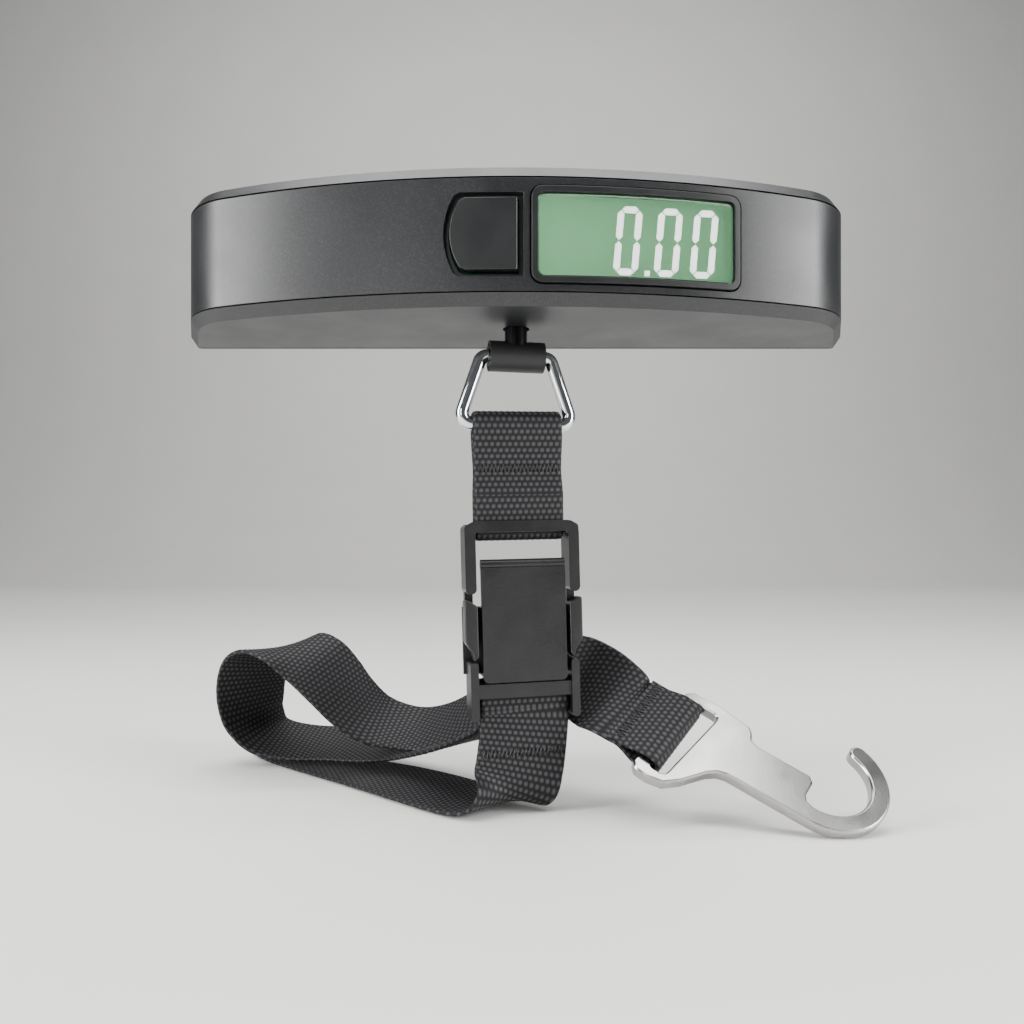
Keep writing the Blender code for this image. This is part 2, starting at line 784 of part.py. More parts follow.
# ---- battery ----
def battery_parts(look_of):
    cap_inner = BODY_BACK - COVER_THICKNESS - GAP - CAP_TAB_THICKNESS
    centre = (BATTERY_X, MIDDLE_Z)

    def along(y):
        return (BATTERY_X, y, MIDDLE_Z)

    cap = rod(
        "battery_cap", CAP_RADIUS, along(cap_inner), along(BODY_BACK - 0.0002), look_of["rear"], sides=48
    )
    tab_outline = rounded(2 * (CAP_RADIUS + CAP_TAB_REACH), 0.0036, 0.0003, centre, 2)
    join(cap, prism("cap_tabs", tab_outline, cap_inner, cap_inner + CAP_TAB_THICKNESS, "Y"))
    coin_slot = prism(
        "coin_slot", rounded(0.0130, 0.0018, 0.0008, centre, 3), BODY_BACK - 0.0014, BODY_BACK + 0.01, "Y"
    )
    cut(cap, coin_slot)
    cell_back = cap_inner - 0.0004
    cell_front = cell_back - CELL_THICKNESS
    cell = rod("coin_cell", CELL_RADIUS, along(cell_front), along(cell_back), look_of["cell"], sides=48)
    bevel = cell.modifiers.new("rolled_rim", "BEVEL")
    bevel.width = 0.0004
    bevel.segments = 2
    bevel.angle_limit = math.radians(60)
    bevel.limit_method = "ANGLE"
    strip = 0.0004
    block(
        "battery_contact_minus",
        (BATTERY_X - 0.0050, cell_front - GAP - strip, MIDDLE_Z - 0.0015),
        (BATTERY_X + 0.0050, cell_front - GAP, MIDDLE_Z + 0.0015),
        look_of["steel"],
    )
    ring_inner = CELL_RADIUS + 2 * GAP + strip
    start, end = math.radians(160), math.radians(200)
    spring = arc(centre, CELL_RADIUS + GAP, start, end, 6) + arc(
        centre, CELL_RADIUS + GAP + strip, end, start, 6
    )
    prism("battery_contact_plus", spring, cell_front + 0.0004, cell_back - 0.0004, "Y", look_of["steel"])
    floor = cell_front - 2 * GAP - strip
    holder = rod(
        "battery_holder",
        ring_inner + HOLDER_WALL,
        along(floor - HOLDER_WALL),
        along(cap_inner - GAP),
        look_of["rear"],
        sides=48,
    )
    low, high = -BODY_HEIGHT + WALL + GAP, -WALL - GAP
    keep(holder, block("holder_flats", (BATTERY_X - 0.02, 0.0, low), (BATTERY_X + 0.02, 0.05, high)))
    cut(holder, rod("holder_pocket", ring_inner, along(floor), along(0.05), sides=48))
    lead_start = floor - HOLDER_WALL - GAP
    lead_end = front_at(WINDOW_X) + BOARD_DEPTH + BOARD_THICKNESS + LEAD_STANDOFF
    steps = ((0.0, 0.0), (0.0, 0.35), (-0.0030, 0.55), (-0.0100, 0.65), (-0.0140, 0.74), (-0.0150, 1.0))
    for name, x, finish in (("battery_lead_red", 0.0028, "red"), ("battery_lead_black", -0.0028, "black")):
        z = MIDDLE_Z + x / 2
        route = [
            (BATTERY_X + x + across, lead_start + (lead_end - lead_start) * share, z)
            for across, share in steps
        ]
        wire(name, smooth(route, 3), LEAD_RADIUS, look_of[finish])


def gauge_lead(look_of):
    x = sum(BEAM_BORES_X) / 2
    z = BEAM_TOP + 0.0014
    route = [(x, -0.0028, z), (x, -0.0060, z + 0.0004), (x, -0.0085, z), (x + 0.001, -0.0105, z - 0.0006)]
    wire("gauge_lead", smooth(route, 3), LEAD_RADIUS, look_of["red"])


# ---- ring, webbing loop and buckle ----
def ring_points():
    half = SLEEVE_LENGTH / 2 + 0.00025
    top_turn = math.pi / 2 - RING_LEAN
    top_x = half + RING_TOP_BEND * math.tan(top_turn / 2)
    low_x = top_x + RING_DROP * math.tan(RING_LEAN)
    corners = [(top_x, 0.0), (-top_x, 0.0), (-low_x, -RING_DROP), (low_x, -RING_DROP)]
    return fillet(corners, (RING_TOP_BEND, RING_TOP_BEND, RING_LOW_BEND, RING_LOW_BEND), 7)


def smooth(route, between):
    """Points along a Catmull-Rom curve through the route's own points."""
    ends = [Vector(p) for p in route]
    ends = [2 * ends[0] - ends[1], *ends, 2 * ends[-1] - ends[-2]]
    points = []
    for a, b, c, d in zip(ends, ends[1:], ends[2:], ends[3:]):
        for k in range(between):
            t = k / between
            square, cube = 2 * a - 5 * b + 4 * c - d, 3 * b - a - 3 * c + d
            points.append(0.5 * (2 * b + (c - a) * t + square * t**2 + cube * t**3))
    return points + [ends[-2]]


def upper_loop(look_of, strap):
    """The sewn loop, seen from the side: round the ring's bar above and the buckle's bar below."""
    top_r = WIRE + WEB_CLEARANCE + WEB_THICKNESS
    low_r = BUCKLE_BAR_RADIUS + WEB_CLEARANCE + WEB_THICKNESS
    low = (BUCKLE_BAR_Y, -BUCKLE_DROP - low_r + 0.0011)
    outline = arc((0, 0), top_r, 0, math.pi, 10) + arc(low, low_r, math.pi, 2 * math.pi, 10)
    loop = prism("upper_strap", outline, -WEB_WIDTH / 2, WEB_WIDTH / 2, "X", look_of["webbing"], strap)
    slots = (
        ("ring_slot", (0, 0), top_r - WEB_THICKNESS, -0.0080),
        ("bar_slot", low, low_r - WEB_THICKNESS, -0.0120),
    )
    for name, centre, radius, tip in slots:
        near, far = (0, math.pi) if tip < centre[1] else (math.pi, 2 * math.pi)
        hole = arc(centre, radius, near, far, 10) + [(-0.0004, tip), (0.0004, tip)][
            :: 1 if near == 0 else -1
        ]
        cut(loop, prism(name, hole, -WEB_WIDTH, WEB_WIDTH, "X", parent=strap))
    return low


def buckle_parts(look_of, strap, bar):
    """Everything here is in the strap's own frame, with depths along its Y."""
    finish = look_of["buckle"]
    inner = WEB_WIDTH / 2 + POST_GAP / 2
    outer = inner + POST_WIDTH
    top = -BUCKLE_DROP
    foot = top - POST_LENGTH
    bow = fillet(
        [
            (outer, foot),
            (outer, top),
            (-outer, top),
            (-outer, foot),
            (-inner, foot),
            (-inner, top - LIP_BAR_HEIGHT),
            (inner, top - LIP_BAR_HEIGHT),
            (inner, foot),
        ],
        (0.0011, 0.0026, 0.0026, 0.0011, 0.0011, 0.0006, 0.0006, 0.0011),
    )
    main = prism("buckle_receiver", bow, BUCKLE_FRONT, BUCKLE_FRONT + LIP_BAR_DEPTH, "Y", finish, strap)
    reach = outer - 0.0005
    extras = [rod("receiver_bar", BUCKLE_BAR_RADIUS, (-reach, *bar), (reach, *bar), parent=strap, sides=20)]
    for side in (-1, 1):
        middle = side * (inner + outer) / 2
        post = rounded(POST_WIDTH, POST_LENGTH - 0.0008, 0.0010, (middle, (top + foot) / 2 - 0.0002))
        extras.append(
            prism(f"receiver_post_{side}", post, BUCKLE_FRONT + 0.0002, BUCKLE_BACK, "Y", parent=strap)
        )
        low = (middle - RAIL_HALF, 0.0003, foot - RAIL_LENGTH)
        high = (middle + RAIL_HALF, BUCKLE_BACK - 0.0003, foot + 0.003)
        extras.append(block(f"receiver_rail_{side}", low, high, parent=strap))
    join(main, *extras)

    half = PLATE_WIDTH / 2
    plate_top = top - PLATE_TOP
    plate_low = plate_top - PLATE_HEIGHT
    front = BUCKLE_FRONT - 0.0002
    plate_outline = fillet(
        [(half, plate_low), (half, plate_top), (-half, plate_top), (-half, plate_low)],
        (0.0012, 0.0003, 0.0003, 0.0012),
    )
    plug = prism("buckle_plug", plate_outline, front, front + PLATE_THICKNESS, "Y", finish, strap)
    roll_z = plate_top + ROLL_RADIUS * 0.6
    roll_y = front + ROLL_RADIUS
    parts = [rod("plug_roll", ROLL_RADIUS, (-half, roll_y, roll_z), (half, roll_y, roll_z), parent=strap, sides=20)]
    core_top, core_low = foot - 0.0030, -BUCKLE_DROP - ADJUSTER_TOP - 0.0032
    for name, width, near, far in (
        ("plug_core", half, front + PLATE_THICKNESS - 0.0003, BUCKLE_BACK + 0.0004),
        ("plug_back", outer, BUCKLE_BACK + 0.0001, BUCKLE_BACK + 0.0011),
    ):
        parts.append(block(name, (-width, near, core_low), (width, far, core_top), parent=strap))
    adjust_top, adjust_low = top - ADJUSTER_TOP, top - ADJUSTER_TOP - ADJUSTER_HEIGHT
    a_inner = inner
    a_outer = a_inner + ADJUSTER_POST
    lip_top = top - ADJUSTER_LIP_TOP
    lip_low = (-a_inner - 0.0005, BUCKLE_FRONT + 0.0006, lip_top - ADJUSTER_LIP_HEIGHT)
    parts.append(
        block("adjuster_lip", lip_low, (a_inner + 0.0005, BUCKLE_FRONT + 0.0016, lip_top), parent=strap)
    )
    lower_bar = (BUCKLE_BAR_Y, lip_top - 0.0016)
    reach = a_inner + 0.0005
    adjuster_bar = rod(
        "adjuster_bar", BUCKLE_BAR_RADIUS, (-reach, *lower_bar), (reach, *lower_bar), parent=strap, sides=20
    )
    parts.append(adjuster_bar)
    for side in (-1, 1):
        middle = side * (a_inner + a_outer) / 2
        post = rounded(ADJUSTER_POST, ADJUSTER_HEIGHT, 0.0007, (middle, (adjust_top + adjust_low) / 2))
        parts.append(
            prism(f"adjuster_post_{side}", post, BUCKLE_FRONT, BUCKLE_BACK + 0.0006, "Y", parent=strap)
        )
    join(plug, *parts)

    tab_top, tab_low = top - TAB_TOP, top - TAB_TOP - TAB_HEIGHT
    tab_inner = half + 0.0009
    for name, side in (("release_tab_left", -1), ("release_tab_right", 1)):
        pivot = Vector((side * 0.0116, 0, tab_low + 0.0012))
        hinge = frame(name + "_hinge", pivot, parent=strap)
        outline = [
            (tab_inner, tab_top - 0.0016),
            (0.0120, tab_top - 0.0004),
            (TAB_OUTER - 0.0003, tab_top),
            (TAB_OUTER, tab_top - 0.0006),
            (TAB_OUTER, tab_top - 0.0094),
            (TAB_OUTER - 0.0016, tab_top - 0.0118),
            (0.0112, tab_low),
            (tab_inner, tab_low + 0.0010),
        ]
        points = [(side * x - pivot.x, z - pivot.z) for x, z in outline]
        prism(name, points, front, -0.0001, "Y", finish, hinge)

    return lower_bar


# ---- webbing that lies free ----
# Each station is the webbing's middle and the way its width points, from its near edge to its far edge.
MAIN_ROUTE = [
    ((0.0011, 0.0030, -0.1128), (0.981, 0.191, 0.026)),
    ((0.0012, 0.0031, -0.1138), (0.981, 0.191, 0.026)),
    ((0.0012, 0.0034, -0.1158), (0.98, 0.20, 0.03)),
    ((-0.0004, 0.0058, -0.1184), (0.96, 0.28, 0.03)),
    ((-0.0060, 0.0130, -0.1216), (0.85, 0.50, 0.05)),
    ((-0.0140, 0.0225, -0.1254), (0.75, 0.65, 0.10)),
    ((-0.0240, 0.0335, -0.1286), (0.60, 0.78, 0.18)),
    ((-0.0360, 0.0425, -0.1307), (0.40, 0.88, 0.24)),
    ((-0.0490, 0.0480, -0.1313), (0.25, 0.93, 0.26)),
    ((-0.0610, 0.0500, -0.1312), (0.20, 0.93, 0.28)),
    ((-0.0695, 0.0505, -0.1292), (0.35, 0.90, 0.26)),
    ((-0.0735, 0.0510, -0.1245), (0.60, 0.78, 0.16)),
    ((-0.0745, 0.0505, -0.1185), (0.76, 0.64, 0.10)),
    ((-0.0737, 0.0490, -0.1125), (0.82, 0.57, 0.06)),
    ((-0.0710, 0.0465, -0.1075), (0.85, 0.52, 0.06)),
    ((-0.0660, 0.0430, -0.1045), (0.86, 0.50, 0.10)),
    ((-0.0595, 0.0395, -0.1042), (0.80, 0.56, 0.22)),
    ((-0.0535, 0.0375, -0.1070), (0.66, 0.64, 0.38)),
    ((-0.0485, 0.0368, -0.1118), (0.52, 0.71, 0.46)),
    ((-0.0440, 0.0368, -0.1170), (0.42, 0.78, 0.46)),
    ((-0.0390, 0.0370, -0.1213), (0.35, 0.83, 0.43)),
    ((-0.0330, 0.0372, -0.1238), (0.25, 0.88, 0.40)),
    ((-0.0260, 0.0360, -0.1246), (0.15, 0.90, 0.38)),
    ((-0.0185, 0.0325, -0.1230), (0.10, 0.90, 0.42)),
    ((-0.0110, 0.0285, -0.1195), (0.10, 0.85, 0.52)),
    ((-0.0030, 0.0250, -0.1145), (0.18, 0.72, 0.66)),
    ((0.0050, 0.0210, -0.1095), (0.28, 0.50, 0.80)),
    ((0.0120, 0.0160, -0.1072), (0.40, 0.30, 0.86)),
    ((0.0170, 0.0095, -0.1085), (0.48, 0.28, 0.82)),
    ((0.0210, 0.0038, -0.1110), (0.55, 0.40, 0.70)),
    ((0.0238, 0.0005, -0.1128), (0.60, 0.58, 0.55)),
    ((0.02670, -0.00105, -0.11440), (0.60, 0.62, 0.51)),
]
TAIL_ROUTE = [
    ((0.0019, -0.0012, -0.1125), (0.981, 0.191, 0.026)),
    ((0.0020, -0.0012, -0.1150), (0.981, 0.191, 0.026)),
    ((0.0015, -0.0016, -0.1210), (0.98, 0.19, 0.01)),
    ((0.0008, -0.0022, -0.1262), (0.98, 0.20, 0.00)),
    ((-0.0002, -0.0026, -0.1300), (0.97, 0.24, 0.00)),
    ((-0.0020, -0.0020, -0.1327), (0.86, 0.50, 0.00)),
    ((-0.0055, 0.0004, -0.1345), (0.70, 0.71, 0.03)),
    ((-0.0110, 0.0046, -0.1350), (0.66, 0.75, 0.07)),
    ((-0.0200, 0.0130, -0.1348), (0.68, 0.73, 0.09)),
    ((-0.0310, 0.0240, -0.1350), (0.70, 0.71, 0.07)),
    ((-0.0420, 0.0345, -0.1354), (0.70, 0.71, 0.03)),
    ((-0.0520, 0.0440, -0.1358), (0.70, 0.71, 0.00)),
    ((-0.0600, 0.0520, -0.1358), (0.75, 0.66, 0.00)),
    ((-0.0648, 0.0578, -0.1358), (0.83, 0.56, 0.00)),
    ((-0.0684, 0.0644, -0.1358), (0.91, 0.41, 0.00)),
    ((-0.0706, 0.0716, -0.1358), (0.96, 0.28, 0.00)),
]


def ribbon(name, route, between, finish):
    """Flat webbing along the route, its thickness square to its way and its width."""
    middles = smooth([place for place, _ in route], between)
    widths = smooth([way for _, way in route], between)
    rings = []
    for k, middle in enumerate(middles):
        ahead = (middles[min(k + 1, len(middles) - 1)] - middles[max(k - 1, 0)]).normalized()
        across = (widths[k] - ahead * widths[k].dot(ahead)).normalized()
        out = across.cross(ahead)
        half, thick = across * (WEB_WIDTH / 2), out * (WEB_THICKNESS / 2)
        rings.append(
            [middle - half - thick, middle + half - thick, middle + half + thick, middle - half + thick]
        )
    return stack(name, rings, finish)


def lower_webbing(look_of, strap, bar):
    outer = BUCKLE_BAR_RADIUS + WEB_CLEARANCE + WEB_THICKNESS
    hang = bar[1] - 0.0030
    outline = arc(bar, outer, 0, math.pi, 10) + [
        (bar[0] - outer, hang), (bar[0] - outer + WEB_THICKNESS, hang)
    ]
    outline += arc(bar, outer - WEB_THICKNESS, math.pi, 0, 10)
    outline += [(bar[0] + outer - WEB_THICKNESS, hang), (bar[0] + outer, hang)]
    prism("strap_wrap", outline, -WEB_WIDTH / 2, WEB_WIDTH / 2, "X", look_of["webbing"], strap)
    ribbon("strap_main", MAIN_ROUTE, 3, look_of["webbing"])
    ribbon("strap_tail", TAIL_ROUTE, 3, look_of["webbing"])


def hook_outline():
    """From the loop's bar, along the stem and round the bend to the tip, and back."""
    bend, inner, outer = HOOK_BEND_CENTRE, HOOK_BEND_INNER, HOOK_BEND_OUTER
    tip_angle, low_angle = math.radians(HOOK_TIP_DEGREES), -math.pi / 2
    reach = (inner + outer) / 2
    tip = (bend[0] + reach * math.cos(tip_angle), bend[1] + reach * math.sin(tip_angle))
    bar = -HOOK_BAR_HALF
    near = [
        (bar, -0.0118), (bar + 0.0014, -0.0132), (0.0025, -0.0133), (0.0059, -0.0124), (0.0086, -0.0095)
    ]
    near += [(0.0120, -0.0042), (0.0137, -0.0026), (0.0156, -0.0019)]
    out = arc(bend, outer, low_angle, tip_angle, 18)
    round_tip = arc(tip, (outer - inner) / 2, tip_angle, tip_angle + math.pi, 6)[1:-1]
    back = arc(bend, inner, tip_angle, low_angle, 16)
    throat = [(0.0313, 0.0034), (0.0306, 0.0046), (0.0306, 0.0083), (0.0294, 0.0096)]
    far = [
        (0.0172, 0.0091),
        (0.0157, 0.0098),
        (0.0150, 0.0114),
        (0.0138, 0.0127),
        (0.0055, 0.0136),
        (0.0025, 0.0133),
    ]
    far += [(bar + 0.0014, 0.0132), (bar, 0.0118)]
    return near + out + round_tip + back + throat + far


def hook_parts(look_of, place):
    half = HOOK_THICKNESS / 2
    hook = prism("hook", hook_outline(), -half, half, "Z", look_of["nickel"], place)
    reach = HOOK_SLOT / 2
    corners = [(HOOK_BAR_HALF, -reach), (0.0052, -reach), (0.0072, reach), (HOOK_BAR_HALF, reach)]
    cut(
        hook,
        prism(
            "hook_opening",
            fillet(corners, (0.0006, 0.0012, 0.0012, 0.0006), 3),
            -0.01,
            0.01,
            "Z",
            parent=place,
        ),
    )
    bevel = hook.modifiers.new("eased_edges", "BEVEL")
    bevel.width = 0.0004
    bevel.segments = 1
    bevel.limit_method = "ANGLE"
    bevel.angle_limit = math.radians(50)


def hook_fold(look_of, place):
    """The webbing's sewn end: a flat loop round the hook's bar, closed on the strap's side."""
    side, face = HOOK_BAR_HALF + WEB_CLEARANCE, HOOK_THICKNESS / 2 + WEB_CLEARANCE
    ease = 0.0008
    shoulder = -side - 0.0018

    def section(more):
        x, z = side + more, face + more
        right = [(x, -z + ease), (x, z - ease), (x - ease, z)]
        left = [(-side, z), (shoulder, more), (shoulder, -more), (-side, -z)]
        return right + left + [(x - ease, -z)]

    outline = section(WEB_THICKNESS)
    end = [(-FOLD_REACH, WEB_THICKNESS), (-FOLD_REACH, -WEB_THICKNESS)]
    crease = shoulder - 0.0006
    outline = outline[:4] + [(crease, WEB_THICKNESS)] + end + [(crease, -WEB_THICKNESS)] + outline[
        6:
    ]
    fold = prism("hook_fold", outline, -WEB_WIDTH / 2, WEB_WIDTH / 2, "Y", look_of["webbing"], place)
    hole = section(0.0)
    hole = hole[:4] + [(shoulder, 0.0)] + hole[6:]
    cut(fold, prism("fold_hole", hole, -WEB_WIDTH, WEB_WIDTH, "Y", parent=place))


def build():
    for old in list(bpy.data.objects):
        bpy.data.objects.remove(old, do_unlink=True)
    look_of = looks()
    tilt = math.asin(WINDOW_X / FRONT_RADIUS)
    display = frame("display_frame", (WINDOW_X, front_at(WINDOW_X), 0.0), (0, 0, tilt))
    hang = frame("swivel_axis", (0, 0, -EYE_DROP), (0, 0, HANG_YAW))
    strap = frame("ring_bar_axis", (0, 0, -RING_DROP), (0, HANG_ROLL, 0), hang)

    housing(look_of, display)
    display_parts(look_of, display)
    button_parts(look_of, display)
    load_cell_parts(look_of, hang)
    battery_parts(look_of)
    gauge_lead(look_of)
    wire("ring", [(x, 0.0, z) for x, z in ring_points()], WIRE, look_of["chrome"], hang, closed=True)
    frame_bar = upper_loop(look_of, strap)
    lower_bar = buckle_parts(look_of, strap, frame_bar)
    lower_webbing(look_of, strap, lower_bar)

    stem = HOOK_STEM_WAY.normalized()
    across = (HOOK_BAR_WAY - stem * HOOK_BAR_WAY.dot(stem)).normalized()
    turned = Matrix((stem, across, stem.cross(across))).transposed().to_euler()
    hook_place = frame("hook_bar_axis", HOOK_BAR, turned)
    hook_parts(look_of, hook_place)
    hook_fold(look_of, hook_place)


build()
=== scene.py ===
# %% [markdown]
# # Digital luggage scale
# A handheld housing carries a display and a unit button. A load cell inside it pulls on a steel ring, and
# from the ring hang a sewn webbing loop, a side-release buckle, a slack strap and a flat hook. The solids
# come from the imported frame. This file gives them their edges, their woven webbing, their display digits
# and their finishes.

# %% Frame and sizes
import json
import math

import bmesh
import bpy
import numpy as np
from mathutils import Matrix, Vector

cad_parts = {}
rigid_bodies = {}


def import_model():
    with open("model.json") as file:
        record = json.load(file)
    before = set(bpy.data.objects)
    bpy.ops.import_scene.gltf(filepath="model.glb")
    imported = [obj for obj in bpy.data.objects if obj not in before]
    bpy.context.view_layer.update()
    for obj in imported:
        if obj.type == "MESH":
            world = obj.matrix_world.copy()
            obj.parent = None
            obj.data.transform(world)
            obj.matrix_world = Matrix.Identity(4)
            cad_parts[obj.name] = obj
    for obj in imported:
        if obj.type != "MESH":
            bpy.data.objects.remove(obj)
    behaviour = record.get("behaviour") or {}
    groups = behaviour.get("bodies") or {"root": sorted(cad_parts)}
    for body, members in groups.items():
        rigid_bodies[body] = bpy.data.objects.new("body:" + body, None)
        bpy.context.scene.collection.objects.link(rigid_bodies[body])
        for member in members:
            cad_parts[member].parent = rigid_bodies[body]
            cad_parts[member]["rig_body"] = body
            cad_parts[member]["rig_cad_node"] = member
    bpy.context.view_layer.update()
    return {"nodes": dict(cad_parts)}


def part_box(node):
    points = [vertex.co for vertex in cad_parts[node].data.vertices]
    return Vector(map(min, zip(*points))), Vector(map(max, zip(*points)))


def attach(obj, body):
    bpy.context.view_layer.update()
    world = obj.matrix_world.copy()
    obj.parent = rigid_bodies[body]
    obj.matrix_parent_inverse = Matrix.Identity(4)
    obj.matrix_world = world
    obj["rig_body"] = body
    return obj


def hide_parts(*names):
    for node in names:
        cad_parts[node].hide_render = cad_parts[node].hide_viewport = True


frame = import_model()
nodes = frame["nodes"]

MM = 0.001
BENCH_Z = -0.1365
EYE_Z = -0.0345
RING_DROP = 0.0152
HANG_YAW = math.radians(11)
HANG_ROLL = math.radians(-1.5)
WEB_WIDTH = 0.0200
WEB_THICKNESS = 0.0012

# %% [markdown]
# ## Camera
# The scale hangs just over a bench, and the lens is level with the buckle, so the housing is seen a
# little from below. A small vertical shift keeps the lens level, which keeps upright lines upright.

# %% Camera
CAMERA_PLACE = Vector((-0.0009, -0.1939, -0.0800))
LENS_MM = 30.4
SHIFT_UP = 0.047
NEAREST = 0.01

bpy.ops.object.select_all(action="DESELECT")
bpy.ops.object.camera_add(location=CAMERA_PLACE, rotation=(math.pi / 2, 0, 0))
camera = bpy.context.object
camera.data.lens = LENS_MM
camera.data.shift_y = SHIFT_UP
camera.data.clip_start = NEAREST
bpy.context.scene.camera = camera


# %% [markdown]
# ## Colours and nodes
# Every finish below is one Principled material, and all but the glowing figures have a few pattern nodes
# joined to it. Colours are written as hex codes, as a colour picker shows them, and one function turns them
# to linear values. One small function adds a node with its settings and links, and the others make a
# pattern or join one to a socket.

# %% Colour and nodes
# A Mix node has sockets for each kind of value. These are the numbers of its colour sockets.
MIX_FIRST = 6
MIX_SECOND = 7
MIX_RESULT = 2


def linear(code):
    """A hex colour such as "#20242A" as the linear values that a shader takes."""
    values = [int(code[i : i + 2], 16) / 255 for i in (1, 3, 5)]
    return tuple(v / 12.92 if v <= 0.04045 else ((v + 0.055) / 1.055) ** 2.4 for v in values) + (1.0,)


def add_node(tree, kind, links=None, **settings):
    """Adds one node. settings are its properties; links is {socket: value, or an output to join to it}."""
    made = tree.nodes.new("ShaderNode" + kind)
    for name, value in settings.items():
        setattr(made, name, value)
    for socket, source in (links or {}).items():
        if isinstance(source, bpy.types.NodeSocket):
            tree.links.new(source, made.inputs[socket])
        else:
            made.inputs[socket].default_value = source
    return made


def start_material(name, colour, roughness, metallic=0.0, ior=None):
    """A named Principled material, and the three things that patterns are joined to."""
    made = bpy.data.materials.new(name)
    made.use_nodes = True
    shader = made.node_tree.nodes["Principled BSDF"]
    shader.inputs["Base Color"].default_value = linear(colour)
    shader.inputs["Roughness"].default_value = roughness
    shader.inputs["Metallic"].default_value = metallic
    if ior:
        shader.inputs["IOR"].default_value = ior
    coords = add_node(made.node_tree, "TexCoord")
    return made, made.node_tree, shader, coords.outputs["Object"]


def noise(tree, place, size, detail=2.0):
    """Noise whose blobs are about size metres across."""
    made = add_node(tree, "TexNoise", {"Vector": place, "Scale": 0.5 / size, "Detail": detail})
    return made.outputs["Fac"]


def bump(tree, shader, height, depth, onto=None):
    """Adds height to the shader's normal. depth is in metres."""
    links = {"Height": height, "Strength": 1.0, "Distance": depth}
    if onto:
        links["Normal"] = onto
    made = add_node(tree, "Bump", links)
    tree.links.new(made.outputs["Normal"], shader.inputs["Normal"])
    return made.outputs["Normal"]


def spread(tree, value, low, high, start=0.3, end=0.7):
    """The value from start to end mapped to low to high."""
    links = {"Value": value, "From Min": start, "From Max": end, "To Min": low, "To Max": high}
    return add_node(tree, "MapRange", links).outputs["Result"]


def blend_colours(tree, shader, factor, first, second):
    """Blends two hex colours by factor into the base colour."""
    mixed = add_node(tree, "Mix", {"Factor": factor}, data_type="RGBA")
    mixed.inputs[MIX_FIRST].default_value = linear(first)
    mixed.inputs[MIX_SECOND].default_value = linear(second)
    tree.links.new(mixed.outputs[MIX_RESULT], shader.inputs["Base Color"])
    return mixed.outputs[MIX_RESULT]


# %% [markdown]
# ## Floor
# The bench is a painted board that curves up into its own backdrop, as in a studio cove. It starts as a
# plane, its back edge is extruded up, and the corner between them is bevelled into a wide bend.

# %% Floor
BACKDROP_WIDE = 4.0
BACKDROP_DEEP = 2.4
BACKDROP_HIGH = 3.5
BACKDROP_BEND = 0.8
BEND_SEGMENTS = 15
PAINT_PATCH = 60 * MM
floor_material, tree, shader, place = start_material("Painted_bench_top", "#E4E3E0", 0.62)
blend_colours(tree, shader, noise(tree, place, PAINT_PATCH), "#E6E5E2", "#E0DFDC")
bpy.ops.object.select_all(action="DESELECT")
bpy.ops.mesh.primitive_plane_add(size=1.0, location=(0, 0, BENCH_Z))
floor = bpy.context.object
floor.name = "bench"
floor.scale = (2 * BACKDROP_WIDE, 2 * BACKDROP_DEEP, 1)
bpy.ops.object.transform_apply(location=True, rotation=False, scale=True)


def select_in_edit(kind, test):
    """In edit mode, selects only the faces or edges that pass the test."""
    bpy.ops.mesh.select_mode(type="FACE" if kind == "faces" else "EDGE")
    bpy.ops.mesh.select_all(action="DESELECT")
    mesh = bpy.context.object.data
    work = bmesh.from_edit_mesh(mesh)
    for part in getattr(work, kind):
        if test(part):
            part.select_set(True)
    bmesh.update_edit_mesh(mesh)


def along_back(edge):
    """True for the edge at the back of the floor, down on the bench."""
    return all(v.co.y > BACKDROP_DEEP - MM and v.co.z < BENCH_Z + MM for v in edge.verts)


bpy.ops.object.mode_set(mode="EDIT")
select_in_edit("edges", along_back)
bpy.ops.mesh.extrude_edges_move(TRANSFORM_OT_translate={"value": (0, 0, BACKDROP_HIGH)})
select_in_edit("edges", along_back)
bpy.ops.mesh.bevel(offset=BACKDROP_BEND, segments=BEND_SEGMENTS, affect="EDGES")
bpy.ops.object.mode_set(mode="OBJECT")
floor.data.shade_smooth()
floor.data.materials.append(floor_material)


# %% [markdown]
# ## Lights
# Two tall soft boxes stand left and right of the scale: their reflections draw the bright bands on the
# housing's rounded ends. A wide box above lights the bench, a weak one in front fills the shadows, and a
# fifth lights the backdrop. The world is a dim even grey.

# %% Lights
def soft_box(name, place, aim, width, height, watts):
    """A rectangular area lamp at place that faces aim."""
    bpy.ops.object.select_all(action="DESELECT")
    bpy.ops.object.light_add(type="AREA", location=place)
    lamp = bpy.context.object
    lamp.name = name
    lamp.data.shape = "RECTANGLE"
    lamp.data.size = width
    lamp.data.size_y = height
    lamp.data.energy = watts
    lamp.rotation_euler = (Vector(aim) - Vector(place)).to_track_quat("-Z", "Y").to_euler()


AIM = (0.0, 0.0, -0.06)
WORLD_STRENGTH = 0.20
soft_box("left_box", (-0.50, -0.24, 0.04), AIM, 0.16, 0.60, 6.5)
soft_box("right_box", (0.50, -0.24, 0.04), AIM, 0.16, 0.60, 6.5)
soft_box("top_box", (0.0, -0.10, 0.60), AIM, 0.70, 0.50, 8.0)
soft_box("front_fill", (-0.35, -0.80, 0.10), AIM, 0.30, 0.30, 1.4)
soft_box("backdrop_light", (0.0, 0.9, 1.6), (0.0, 1.8, 0.2), 2.0, 0.8, 30.0)
world = bpy.data.worlds.new("studio")
world.use_nodes = True
world.node_tree.nodes["Background"].inputs["Color"].default_value = linear("#C9CCD0")
world.node_tree.nodes["Background"].inputs["Strength"].default_value = WORLD_STRENGTH
bpy.context.scene.world = world


